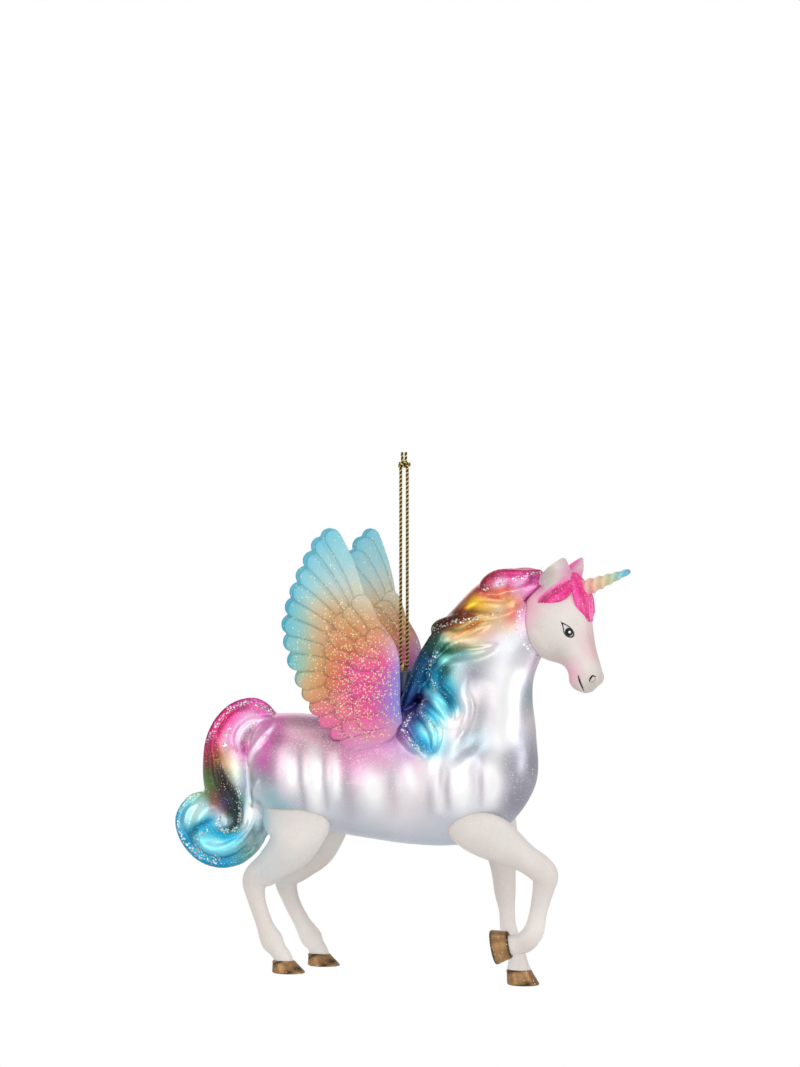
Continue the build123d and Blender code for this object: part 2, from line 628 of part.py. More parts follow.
pieces = [
    glass_body, head, horn, right_fore_leg, left_fore_leg, right_hind_leg, left_hind_leg,
    right_wing, left_wing, crown_cap, hanger_wire, cord_loop, cord_knot,
]
os.makedirs("parts", exist_ok=True)
for piece in pieces:
    export_step(piece.part, f"parts/{piece.part.label}.step")
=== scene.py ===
import json
import math

import bpy
import numpy as np
from mathutils import Matrix, Vector
from mathutils.bvhtree import BVHTree
from mathutils.kdtree import KDTree


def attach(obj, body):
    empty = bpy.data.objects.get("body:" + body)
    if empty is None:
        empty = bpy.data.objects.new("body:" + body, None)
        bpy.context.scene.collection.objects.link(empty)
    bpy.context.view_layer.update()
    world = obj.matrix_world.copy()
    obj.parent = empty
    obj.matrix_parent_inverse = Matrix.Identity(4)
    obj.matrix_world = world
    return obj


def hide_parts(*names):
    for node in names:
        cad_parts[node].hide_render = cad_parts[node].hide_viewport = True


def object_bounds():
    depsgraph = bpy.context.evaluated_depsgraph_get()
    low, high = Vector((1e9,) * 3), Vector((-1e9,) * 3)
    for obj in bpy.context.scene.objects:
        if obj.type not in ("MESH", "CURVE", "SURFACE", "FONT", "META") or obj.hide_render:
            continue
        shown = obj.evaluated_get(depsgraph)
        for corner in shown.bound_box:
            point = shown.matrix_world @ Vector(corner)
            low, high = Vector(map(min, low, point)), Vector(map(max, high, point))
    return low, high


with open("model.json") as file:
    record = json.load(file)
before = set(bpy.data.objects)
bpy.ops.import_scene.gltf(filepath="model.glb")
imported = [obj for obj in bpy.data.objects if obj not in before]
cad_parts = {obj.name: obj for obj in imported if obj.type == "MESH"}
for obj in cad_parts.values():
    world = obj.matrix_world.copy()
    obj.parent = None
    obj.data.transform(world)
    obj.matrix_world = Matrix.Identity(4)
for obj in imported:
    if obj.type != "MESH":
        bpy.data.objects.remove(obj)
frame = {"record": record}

# Forms are made in millimetres from the wire eye. make_mesh puts them into the frame's metres.
cad_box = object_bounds()
MM = 0.001
FULL_TURN = 2 * math.pi
RING_Z = frame["record"]["behaviour"]["joints"][0]["pos_m"][2]
RING = np.array([0.0, 0.0, RING_Z])
AHEAD = np.array([1.0, 0.0, 0.0])
LEFT = np.array([0.0, 1.0, 0.0])
UP = np.array([0.0, 0.0, 1.0])
WHITE = (1, 1, 1, 1)

# The camera that took the photograph: level, a little in front of square to the animal's right side.
PICTURE = (800, 1067)
TURN = math.radians(13.0)
DISTANCE = 800.0
PIXEL = 0.27
RING_PIXEL = (404.0, 664.0)
LENS, SENSOR = 100.0, 36.0
ACROSS = np.array([math.cos(TURN), math.sin(TURN), 0.0])
BACK = np.array([math.sin(TURN), -math.cos(TURN), 0.0])
EYE = (np.array([0.0, 0.0, (RING_PIXEL[1] - PICTURE[1] / 2) * PIXEL])
       - (RING_PIXEL[0] - PICTURE[0] / 2) * PIXEL * ACROSS + DISTANCE * BACK)


def seen(u, v, y):
    """The place that a pixel shows at a given distance to the left."""
    way = -BACK * DISTANCE / PIXEL + ACROSS * (u - PICTURE[0] / 2)
    way = way + np.array([0.0, 0.0, PICTURE[1] / 2 - v])
    return EYE + way * (y - EYE[1]) / way[1]


def pixels(points):
    """Where places show in the picture."""
    rel = np.asarray(points, float) - EYE
    scale = DISTANCE / PIXEL / -(rel @ BACK)
    return np.stack([PICTURE[0] / 2 + (rel @ ACROSS) * scale, PICTURE[1] / 2 - rel[:, 2] * scale], 1)


def near_pixels(points):
    """Places in the picture, with the far side folded onto the near one so that both are painted alike."""
    return pixels(points * np.array([1, 0, 1]) - np.abs(points) * LEFT)


def unit(v):
    v = np.asarray(v, float)
    return v / np.maximum(np.linalg.norm(v, axis=-1, keepdims=True), 1e-9)


def turned(v, axis, angle):
    return np.array(Matrix.Rotation(math.radians(angle), 3, Vector(axis)) @ Vector(v))


def circle(count):
    """Even turns round a full circle."""
    return np.arange(count) * FULL_TURN / count


def finer(rows, steps):
    """Rows of a table with smooth rows put between them."""
    rows = np.asarray(rows, float)
    padded = np.vstack([2 * rows[0] - rows[1], rows, 2 * rows[-1] - rows[-2]])
    made = []
    for i in range(1, len(padded) - 2):
        a, b, c, d = padded[i - 1:i + 3]
        for k in range(steps):
            t = k / steps
            made.append(0.5 * (2 * b + (c - a) * t + (2 * a - 5 * b + 4 * c - d) * t * t
                               + (3 * b - a - 3 * c + d) * t ** 3))
    made.append(rows[-1])
    return np.array(made)


def closed(rings, first, last):
    """A closed tube through rings of points, with one point to close each end."""
    count, around = len(rings), len(rings[0])
    verts = np.vstack([np.reshape(rings, (-1, 3)), first, last])
    faces = []
    for i in range(count - 1):
        for j in range(around):
            k = (j + 1) % around
            faces.append((i * around + j, i * around + k, (i + 1) * around + k, (i + 1) * around + j))
    for j in range(around):
        k = (j + 1) % around
        faces.append((count * around, k, j))
        faces.append((count * around + 1, (count - 1) * around + j, (count - 1) * around + k))
    return verts, faces


def capped(rings):
    """A closed tube through rings of points, closed in the middle of its first and last ring."""
    return closed(rings, rings[0].mean(0), rings[-1].mean(0))


def skin(centres, us, vs, around=24, power=2.0):
    """A closed tube through rounded rings. Each ring has a centre and two half axes as vectors."""
    c, s = np.cos(circle(around)), np.sin(circle(around))
    c = np.sign(c) * np.abs(c) ** (2 / power)
    s = np.sign(s) * np.abs(s) ** (2 / power)
    rings = centres[:, None] + us[:, None] * c[None, :, None] + vs[:, None] * s[None, :, None]
    return closed(rings, centres[0], centres[-1])


def tube(rows, side, steps=6, around=20, power=2.0):
    """A tube along a path: rows of x, y, z, half depth and half width. Width lies along side."""
    rows = finer(rows, steps)
    centres = rows[:, :3]
    way = unit(np.gradient(centres, axis=0))
    us = unit(np.cross(way, np.asarray(side, float)))
    vs = unit(np.cross(us, way))
    return skin(centres, us * rows[:, 3:4], vs * rows[:, 4:5], around, power)


def blob(centre, radii):
    """A closed egg at a centre."""
    heights = np.cos(np.linspace(0, math.pi, 17))[1:-1, None]
    girth = np.sqrt(1 - heights ** 2)
    return skin(centre + heights * radii[2] * UP, girth * radii[0] * AHEAD, girth * radii[1] * LEFT)


def wrapped(rows, columns):
    """The faces of a sheet of points that closes both ways."""
    faces = []
    for i in range(rows):
        for j in range(columns):
            k, m = (i + 1) % rows, (j + 1) % columns
            faces.append((i * columns + j, i * columns + m, k * columns + m, k * columns + j))
    return faces


def joined(*parts):
    verts, faces, base = [], [], 0
    for v, f in parts:
        verts.append(v)
        faces += [tuple(i + base for i in face) for face in f]
        base += len(v)
    return np.vstack(verts), faces


def flipped(faces):
    return [tuple(reversed(face)) for face in faces]


def mirrored(part):
    """A form's twin on the other side of the animal."""
    verts, faces = part
    return verts * np.array([1, -1, 1]), flipped(faces)


def add(name, data):
    """A new object in the scene."""
    obj = bpy.data.objects.new(name, data)
    bpy.context.scene.collection.objects.link(obj)
    return obj


def evaluated(temp):
    """The mesh that an object shows. The object itself is removed."""
    graph = bpy.context.evaluated_depsgraph_get()
    made = bpy.data.meshes.new_from_object(temp.evaluated_get(graph))
    bpy.data.objects.remove(temp)
    return made


def make_mesh(name, verts, faces):
    """A smooth mesh in the frame, from places in millimetres from the wire eye."""
    data = bpy.data.meshes.new(name)
    data.from_pydata((np.asarray(verts) * MM + RING).tolist(), [], faces)
    data.polygons.foreach_set("use_smooth", [True] * len(data.polygons))
    data.update()
    return data


def get_points(data):
    flat = np.empty(len(data.vertices) * 3)
    data.vertices.foreach_get("co", flat)
    return (flat.reshape(-1, 3) - RING) / MM


def set_points(data, points):
    data.vertices.foreach_set("co", (points * MM + RING).ravel())
    data.update()


def get_normals(data):
    flat = np.empty(len(data.vertices) * 3)
    data.vertex_normals.foreach_get("vector", flat)
    return flat.reshape(-1, 3)


def get_edges(data):
    flat = np.empty(len(data.edges) * 2, int)
    data.edges.foreach_get("vertices", flat)
    return flat.reshape(-1, 2)


def edge_mean(edges, first, second, count):
    """For each point, the mean over its edges: first counts at an edge's first point, second at its other."""
    total = np.zeros((count,) + first.shape[1:])
    np.add.at(total, edges[:, 0], first)
    np.add.at(total, edges[:, 1], second)
    met = np.maximum(np.bincount(edges.ravel(), minlength=count), 1)
    return (total.T / met).T


def neighbour_mean(edges, values):
    return edge_mean(edges, values[edges[:, 1]], values[edges[:, 0]], len(values))


def relaxed(data, rounds):
    """Evens out a mesh by moving each point halfway to its neighbours' middle."""
    edges = get_edges(data)
    points = get_points(data)
    for _ in range(rounds):
        points = points + (neighbour_mean(edges, points) - points) * 0.5
    set_points(data, points)


def cast(name, form, voxel, rounds):
    """One continuous smooth casting from overlapping forms."""
    temp = add(name + "_form", make_mesh(name, *form))
    change = temp.modifiers.new("cast", "REMESH")
    change.mode = "VOXEL"
    change.voxel_size = voxel * MM
    change.use_smooth_shade = True
    made = evaluated(temp)
    made.name = name
    relaxed(made, rounds)
    return made


def tree_of(verts, faces):
    return BVHTree.FromPolygons([Vector(p) for p in verts], [tuple(f) for f in faces])


def tree_of_mesh(data):
    return tree_of(get_points(data), [p.vertices for p in data.polygons])


def touch(tree, u, v, fall):
    """Where a pixel's line of sight first meets a form, or the place at a given side if it misses."""
    way = unit(seen(u, v, 0.0) - EYE)
    hit = tree.ray_cast(Vector(EYE), Vector(way))
    return np.array(hit[0]) if hit[0] is not None else seen(u, v, fall)


def line(text):
    """A path in the picture, from words split by spaces."""
    return [tuple(float(n) for n in word.split(",")) for word in text.split()]


def distance_to(points, path):
    """Each point's distance to a line through places, and how far along it that is."""
    path = np.asarray(path, float)
    best = np.full(len(points), 1e9)
    along = np.zeros(len(points))
    lengths = np.linalg.norm(np.diff(path, axis=0), axis=1)
    starts = np.concatenate([[0], np.cumsum(lengths)])
    for i in range(len(path) - 1):
        a, way = path[i], path[i + 1] - path[i]
        t = np.clip(((points - a) @ way) / max(way @ way, 1e-9), 0, 1)
        d = np.linalg.norm(points - a - t[:, None] * way, axis=1)
        nearer = d < best
        best = np.where(nearer, d, best)
        along = np.where(nearer, (starts[i] + t * lengths[i]) / starts[-1], along)
    return best, along


def soft(gap, width):
    """A soft edge: 1 where the gap is nothing, falling off over a width."""
    return np.exp(-(gap / width) ** 2)


def soft_line(flat, path, width):
    """How much a soft line in the picture, some millimetres wide, covers, and how far along it that is."""
    gap, share = distance_to(flat, line(path))
    return soft(gap * PIXEL, width), share


def soft_spot(flat, u, v, wide, tall):
    """How much a soft oval in the picture covers."""
    return soft(flat[:, 0] - u, wide) * soft(flat[:, 1] - v, tall)


def light_of(values):
    return np.where(values <= 0.04045, values / 12.92, ((values + 0.055) / 1.055) ** 2.4)


def shares(code):
    """The three shares, from 0 to 1, that a colour's code writes."""
    return np.array([int(code[i:i + 2], 16) / 255 for i in (0, 2, 4)])


def linear(code):
    """A colour as light, from its written code."""
    return light_of(shares(code))


def full(code):
    """A colour as light with full cover, from its written code."""
    return (*linear(code), 1)


def laid_on(tint, code, cover):
    """Colours after a paint is laid over them."""
    return tint + (linear(code) - tint) * cover[:, None]


def paints(text):
    """A paint plan: each paint with its colour code, then the places in the picture where it is laid on."""
    rows, code = [], None
    for word in text.split():
        if "=" in word:
            code = word.split("=")[1]
        else:
            u, v = word.split(",")
            rows.append((float(u), float(v), code))
    return rows


def spread(points, plan, softness=4.0):
    """Colours that run smoothly between the places of a paint plan."""
    places = np.array([row[:2] for row in plan], float)
    codes = np.array([shares(row[2]) for row in plan])
    count = len(places)

    def reach(spots):
        return -np.sqrt(((spots[:, None] - places[None]) ** 2).sum(2) + softness ** 2)

    system = np.ones((count + 1, count + 1))
    system[:count, :count] = reach(places) + np.eye(count)
    system[count, count] = 0
    pull = np.linalg.solve(system, np.vstack([codes, np.zeros((1, 3))]))
    parts = np.array_split(points, 1 + len(points) // 40000)
    made = np.vstack([reach(part) @ pull[:count] + pull[count] for part in parts])
    return light_of(np.clip(made, 0.01, 1))


def paint(data, name, colours):
    layer = data.color_attributes.new(name, "FLOAT_COLOR", "POINT")
    cover = np.ones((len(data.vertices), 4))
    cover[:, :3] = np.clip(colours, 0, 1)
    layer.data.foreach_set("color", cover.ravel())


def mask(data, name, values):
    layer = data.attributes.new(name, "FLOAT", "POINT")
    layer.data.foreach_set("value", np.asarray(values, float))


def place(name, data, body, slot, look, *nodes):
    """Puts a piece in the scene with the body it rides on and its paint, and hides the nodes it replaces. The
    slot is not used.
    """
    obj = add(name, data)
    data.materials.append(look.material)
    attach(obj, body)
    if nodes:
        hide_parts(*nodes)
    return obj


PALE_FLAKES = [(0.0, "FFFFFF"), (0.35, "E6FFF4"), (0.55, "C4F2DC"), (0.72, "FFF3C0"), (0.88, "FFE0F0"),
               (1.0, "D8ECFF")]
GOLD_FLAKES = [(0.0, "FFFDF0"), (0.30, "FFF2A8"), (0.50, "F2F59A"), (0.66, "FFE48C"), (0.80, "C8F2C4"),
               (1.0, "FFEFE0")]


class Paint:
    """A node material with short ways to write its graph."""

    def __init__(self, name, **values):
        self.material = bpy.data.materials.new(name)
        self.material.use_nodes = True
        self.tree = self.material.node_tree
        self.shader = self.tree.nodes["Principled BSDF"]
        for key, value in values.items():
            self.put(key.replace("_", " "), value)

    def put(self, socket, value):
        self.join(self.shader.inputs[socket], value)

    def join(self, socket, value):
        if isinstance(value, bpy.types.NodeSocket):
            self.tree.links.new(value, socket)
        else:
            socket.default_value = value

    def node(self, kind, inputs=None, **settings):
        made = self.tree.nodes.new("ShaderNode" + kind)
        for key, value in settings.items():
            setattr(made, key, value)
        for key, value in (inputs or {}).items():
            self.join(made.inputs[key], value)
        return made

    def math(self, operation, a, b=0.0, c=0.0):
        return self.node("Math", {0: a, 1: b, 2: c}, operation=operation).outputs[0]

    def vector(self, operation, a, b=None, socket=1):
        inputs = {0: a} if b is None else {0: a, socket: b}
        return self.node("VectorMath", inputs, operation=operation).outputs[0]

    def mix(self, share, a, b, blend="MIX"):
        made = self.node("Mix", data_type="RGBA", blend_type=blend)
        for socket, value in ((0, share), (6, a), (7, b)):
            self.join(made.inputs[socket], value)
        return made.outputs[2]

    def ramp(self, share, stops):
        made = self.node("ValToRGB", {0: share})
        band = made.color_ramp
        while len(band.elements) < len(stops):
            band.elements.new(0.5)
        for element, (spot, code) in zip(band.elements, stops):
            element.position = spot
            element.color = full(code)
        return made.outputs[0]

    def spot(self):
        return self.node("TexCoord").outputs["Object"]

    def tint(self, name):
        """A colour painted on the mesh."""
        return self.node("Attribute", attribute_name=name).outputs["Color"]

    def amount(self, name):
        """A number painted on the mesh."""
        return self.node("Attribute", attribute_name=name).outputs["Fac"]

    def noise(self, scale, detail=3.0, rough=0.55):
        settings = {"Vector": self.spot(), "Scale": scale, "Detail": detail, "Roughness": rough}
        return self.node("TexNoise", settings).outputs[0]

    def bump(self, height, strength, distance):
        settings = {"Height": height, "Strength": strength, "Distance": distance * MM}
        return self.node("Bump", settings).outputs[0]

    def dots(self, amount, scale, size):
        """Random dots: their mask, a random colour for each dot and a random number for each."""
        cells = self.node("TexVoronoi", {"Vector": self.spot(), "Scale": scale, "Randomness": 1.0})
        parts = self.node("SeparateColor", {0: cells.outputs["Color"]})
        near = self.math("LESS_THAN", cells.outputs["Distance"], size)
        picked = self.math("LESS_THAN", parts.outputs[0], amount)
        return self.math("MULTIPLY", near, picked), cells.outputs["Color"], parts.outputs[1]

    def specks(self, base, amount, scale, size, code):
        """Fine dark specks in the paint."""
        dot, _, _ = self.dots(amount, scale, size)
        return self.mix(dot, base, full(code), "MULTIPLY")

    def glitter(self, base, amount, scale, size, tilt, normal=None, hues=PALE_FLAKES):
        """Flakes of glitter in the paint: the colour, the tilted normal and the flakes' mask."""
        flake, chance, pick = self.dots(amount, scale, size)
        tinted = self.mix(0.25, self.ramp(pick, hues), base)
        lean = self.vector("SUBTRACT", chance, (0.5, 0.5, 0.5))
        lean = self.vector("SCALE", lean, self.math("MULTIPLY", flake, tilt), "Scale")
        if normal is None:
            normal = self.node("NewGeometry").outputs["Normal"]
        even = self.vector("NORMALIZE", self.vector("ADD", normal, lean))
        return self.mix(flake, base, tinted), even, flake

    def surface(self, colour, normal, rough=None):
        """The finished colour and normal. rough is a texture, its share of the roughness and the least."""
        self.put("Base Color", colour)
        self.put("Normal", normal)
        if rough is not None:
            self.put("Roughness", self.math("MULTIPLY_ADD", *rough))


# Camera, light and a plain white surrounding.
camera_data = bpy.data.cameras.new("photo_camera")
camera_data.lens = LENS
camera_data.sensor_width = SENSOR
camera = add("photo_camera", camera_data)
camera.matrix_world = Matrix((
    (ACROSS[0], 0, BACK[0], EYE[0] * MM),
    (ACROSS[1], 0, BACK[1], EYE[1] * MM),
    (0, 1, 0, EYE[2] * MM + RING_Z),
    (0, 0, 0, 1),
))
bpy.context.scene.camera = camera
bpy.context.scene.view_settings.view_transform = "Standard"

WORLD_LIGHT = 0.62
world = bpy.data.worlds.new("studio")
bpy.context.scene.world = world
world.use_nodes = True
sky = world.node_tree
rays = sky.nodes.new("ShaderNodeLightPath")
level = sky.nodes.new("ShaderNodeMapRange")
level.inputs["To Min"].default_value = WORLD_LIGHT
level.inputs["To Max"].default_value = 1.0
sky.links.new(rays.outputs["Is Camera Ray"], level.inputs["Value"])
sky.nodes["Background"].inputs["Color"].default_value = WHITE
sky.links.new(level.outputs[0], sky.nodes["Background"].inputs["Strength"])

# Soft panels that face the ornament: millimetres to the camera's right, up and towards it, size and power.
AIM = np.array([0.0, 0.0, -25.0])
LAMPS = {
    "panel_front": (-10, -40, 640, (240, 420), 0.72),
    "panel_left": (-420, 120, 380, (130, 520), 0.60),
    "panel_right": (470, 60, 300, (120, 520), 0.85),
    "panel_top": (0, 560, 160, (420, 300), 0.55),
    "panel_back": (-60, 260, -560, (420, 260), 0.40),
}
for name, (right, up, towards, size, power) in LAMPS.items():
    spot = AIM + ACROSS * right + BACK * towards + UP * up
    data = bpy.data.lights.new(name, "AREA")
    data.shape = "RECTANGLE"
    data.size, data.size_y = size[0] * MM, size[1] * MM
    data.energy = power
    panel = add(name, data)
    panel.location = spot * MM + RING
    panel.rotation_euler = Vector(AIM - spot).to_track_quat("-Z", "Y").to_euler()

FLOOR_DROP, FLOOR_HALF = 40.0, 4
FLOOR_CORNERS = ((-1, -1), (1, -1), (1, 1), (-1, 1))
floor_z = cad_box[0][2] - FLOOR_DROP * MM
floor_data = bpy.data.meshes.new("floor")
floor_verts = [(x * FLOOR_HALF, y * FLOOR_HALF, floor_z) for x, y in FLOOR_CORNERS]
floor_data.from_pydata(floor_verts, [], [(0, 1, 2, 3)])
floor = add("floor", floor_data)
pale = Paint("pale_floor", Base_Color=(0.9, 0.9, 0.9, 1), Roughness=0.9)
lit = pale.node("LightPath").outputs["Is Camera Ray"]
bright = pale.node("Emission", {"Color": WHITE}).outputs[0]
both = pale.node("MixShader", {0: lit, 1: pale.shader.outputs[0], 2: bright})
pale.tree.links.new(both.outputs[0], pale.tree.nodes["Material Output"].inputs[0])
floor_data.materials.append(pale.material)

# Gold cord: the route down, under the wire eye and back up to the knot, with two plies twisted along it.
CORD_ROUTE = [(0.90, 0, 0), (0.90, 0, -47.6), (0.95, 0, -52.6), (0.85, 0, -54.0),
              (-0.85, 0, -54.0), (-0.95, 0, -52.6), (-0.90, 0, -47.6), (-0.90, 0, 0)]
CORD_DIAMETER = 0.9
KNOT_DIAMETER = CORD_DIAMETER * 0.9
PLY_PITCH = 1.15
PLY_COUNT, PLY_GIRTH = 2, 0.27


def route_points(name, route):
    """Points read from the smooth spline that a route's points control."""
    data = bpy.data.curves.new(name, "CURVE")
    data.dimensions = "3D"
    spline = data.splines.new("NURBS")
    spline.points.add(len(route) - 1)
    for point, spot in zip(spline.points, route):
        point.co = (*[n * MM for n in spot], 1)
    spline.order_u = 3
    spline.use_endpoint_u = True
    spline.resolution_u = 60
    read = evaluated(add(name, data))
    return np.array([v.co[:] for v in read.vertices]) / MM


def plies(points, diameter, steps, hint):
    """Strands twisted round a line, with some steps to each turn."""
    lengths = np.concatenate([[0], np.cumsum(np.linalg.norm(np.diff(points, axis=0), axis=1))])
    marks = np.linspace(0, lengths[-1], int(lengths[-1] / (PLY_PITCH / steps)) + 2)
    points = np.stack([np.interp(marks, lengths, points[:, k]) for k in range(3)], 1)
    way = unit(np.gradient(points, axis=0))
    across = unit(np.cross(way, hint))
    other = np.cross(way, across)
    girth = diameter * PLY_GIRTH
    parts = []
    for k in range(PLY_COUNT):
        angle = (FULL_TURN * marks / PLY_PITCH + FULL_TURN * k / PLY_COUNT)[:, None]
        centre = points + (across * np.cos(angle) + other * np.sin(angle)) * (diameter / 2 - girth)
        onward = unit(np.gradient(centre, axis=0))
        us = unit(np.cross(onward, hint)) * girth
        parts.append(skin(centre, us, unit(np.cross(onward, us)) * girth, 8))
    return joined(*parts)


def strands_mesh(name, *parts):
    """A mesh of twisted strands whose points know which ply they belong to."""
    verts, faces = joined(*parts)
    data = make_mesh(name, verts - RING / MM, faces)
    which = np.arange(PLY_COUNT) / (PLY_COUNT - 1)
    mask(data, "ply", np.concatenate([np.repeat(which, len(v) // PLY_COUNT) for v, _ in parts]))
    return data


gold = Paint("gold_thread", Metallic=0.85, Roughness=0.34)
thread_look = {"Vector": gold.spot(), "Scale": 5200.0, "Distortion": 3.0, "Detail": 1.0}
thread = gold.node("TexWave", thread_look, bands_direction="DIAGONAL").outputs[1]
shine = gold.mix(thread, full("BC9C40"), full("F6E49C"))
gold.surface(gold.mix(gold.amount("ply"), shine, full("4C3E16")), gold.bump(thread, 0.35, 0.05))

cord_points = route_points("cord_route", CORD_ROUTE)
cord_data = strands_mesh("cord_loop", plies(cord_points, CORD_DIAMETER, 14, LEFT))
cord = place("cord_strands", cord_data, "cord", "gold_cord", gold, "cord_loop")

# The knot: the two strands tied round themselves, with short tails.
KNOT_RADIUS, KNOT_SWING = 1.06, 0.42
KNOT_MIDDLE, KNOT_RISE = 0.78, 0.46
KNOT_TAIL = [(0.45, 0, 0.5), (0.45, 0.05, 1.6), (0.50, 0.0, 2.6), (0.52, -0.05, 4.1)]
turns = np.linspace(0, 1, 121) * FULL_TURN
spin = KNOT_RADIUS + KNOT_SWING * np.cos(3 * turns)
knot_line = np.stack([spin * np.cos(2 * turns), spin * np.sin(2 * turns),
                      KNOT_MIDDLE + KNOT_RISE * np.sin(3 * turns)], 1)
knot_parts = [plies(knot_line, KNOT_DIAMETER, 12, UP)]
for side in (-1, 1):
    tail_line = finer([(side * x, y, z) for x, y, z in KNOT_TAIL], 12)
    knot_parts.append(plies(tail_line, KNOT_DIAMETER, 12, LEFT))
knot_data = strands_mesh("cord_knot", *knot_parts)
knot = place("cord_knot_strands", knot_data, "cord", "gold_cord", gold, "cord_knot")

# Glass body: barrel and neck, then the mane and the tail laid on it and cast as one bubble.
# Body rows: the upper edge along and up, the lower edge along and up, the half width, as shares of the body.
BODY = [
    (-0.533, -0.300, -0.533, -0.475, 0.120), (-0.519, -0.188, -0.519, -0.625, 0.278),
    (-0.475, -0.090, -0.475, -0.780, 0.419), (-0.388, -0.065, -0.388, -0.850, 0.504),
    (-0.250, -0.080, -0.250, -0.868, 0.489), (-0.112, -0.060, -0.112, -0.905, 0.482),
    (0.006, 0.000, 0.038, -0.938, 0.496), (0.056, 0.050, 0.200, -0.930, 0.504),
    (0.088, 0.162, 0.350, -0.812, 0.474), (0.106, 0.275, 0.450, -0.525, 0.400),
    (0.131, 0.375, 0.452, -0.200, 0.333), (0.175, 0.500, 0.440, 0.038, 0.275),
    (0.244, 0.645, 0.445, 0.195, 0.222), (0.325, 0.750, 0.475, 0.350, 0.175),
    (0.388, 0.788, 0.506, 0.475, 0.130),
]
# Rows of the crest and of the falling tail: along and up, the half depth, the half width.
CREST = [
    (0.090, 0.160, 0.028, 0.080), (0.113, 0.338, 0.068, 0.170), (0.156, 0.480, 0.085, 0.200),
    (0.213, 0.613, 0.085, 0.207), (0.281, 0.740, 0.090, 0.200), (0.356, 0.825, 0.085, 0.178),
    (0.431, 0.865, 0.065, 0.141), (0.481, 0.838, 0.040, 0.089),
]
TAIL_FALL = [
    (0.000, -0.020, 0.29, 0.36), (-0.138, 0.073, 0.31, 0.38), (-0.258, 0.035, 0.38, 0.42),
    (-0.318, -0.108, 0.47, 0.46), (-0.325, -0.283, 0.50, 0.50), (-0.315, -0.445, 0.47, 0.50),
    (-0.313, -0.595, 0.37, 0.44),
]
# The tail's curl is a round cushion: shares of its thickness to the side and of its radius.
TAIL_CURL = [(-0.50, 0.54), (-0.31, 0.78), (0.00, 0.88), (0.31, 0.78), (0.50, 0.54)]
WITHERS = -11.0
LONG, DEEP, WIDE = 80.0, 40.0, 27.0
TAIL_LONG, TAIL_WIDE, TAIL_THICK = 40.0, 15.0, 10.0
CURL_RADIUS, CURL_THICK = 10.8, 8.4
RIM_INSET, RIM_THICK = 2.4, 2.3
# The bulge between tail and rump, and the glass neck under the cap: place, half depth and half width.
BULGE = [(258, 770, 2.4, 2.6), (258, 788, 4.2, 3.4), (257, 806, 5.0, 3.6), (254, 824, 5.0, 3.4),
         (246, 841, 3.4, 2.6)]
PIKE = [(0, 0, -13.0, 3.1, 3.1), (0, 0, -9.0, 3.1, 3.1), (0, 0, -5.0, 3.1, 3.1), (0, 0, -2.4, 3.0, 3.0)]


def body_point(along, up, side=0.0):
    return np.array([along * LONG, side, WITHERS + up * DEEP])


def hoop(middle, radius, thick, around=64, sides=16):
    """A closed ring in the animal's middle plane."""
    turns, spins = circle(around), circle(sides)
    out = np.stack([np.cos(turns), np.zeros(around), np.sin(turns)], 1)
    verts = (middle + out[:, None] * (radius + thick * np.cos(spins))[None, :, None]
             + LEFT * (thick * np.sin(spins))[None, :, None])
    return verts.reshape(-1, 3), wrapped(around, sides)


sections = finer(BODY, 6)
tops = np.array([body_point(row[0], row[1]) for row in sections])
lows = np.array([body_point(row[2], row[3]) for row in sections])
barrel = skin((tops + lows) / 2, (tops - lows) / 2, sections[:, 4:5] * WIDE * LEFT[None], 72, 2.1)
crest = tube([(*body_point(a, u), h * DEEP, w * WIDE) for a, u, h, w in CREST], LEFT, 6, 28)

tail_root = body_point(-0.450, -0.180)
tail_rows = []
for a, u, w, t in TAIL_FALL:
    centre = tail_root + np.array([a, 0, u]) * TAIL_LONG
    tail_rows.append((*centre, w * TAIL_WIDE, t * TAIL_THICK))
tail_fall = tube(tail_rows, LEFT, 6, 36)
curl_middle = tail_root + np.array([-0.383, 0, -0.670]) * TAIL_LONG
curl_rows = finer(TAIL_CURL, 4)
curl_girth = curl_rows[:, 1:] * CURL_RADIUS
curl = skin(curl_middle + curl_rows[:, :1] * CURL_THICK * LEFT, curl_girth * AHEAD, curl_girth * UP, 48)
curl_rim = hoop(curl_middle, CURL_RADIUS - RIM_INSET, RIM_THICK)
bulge = tube([(*seen(u, v, 0.0), deep, wide) for u, v, deep, wide in BULGE], LEFT, 6, 28)
bare = joined(barrel, crest, tail_fall, curl, curl_rim, bulge)
bare_tree = tree_of(*bare)

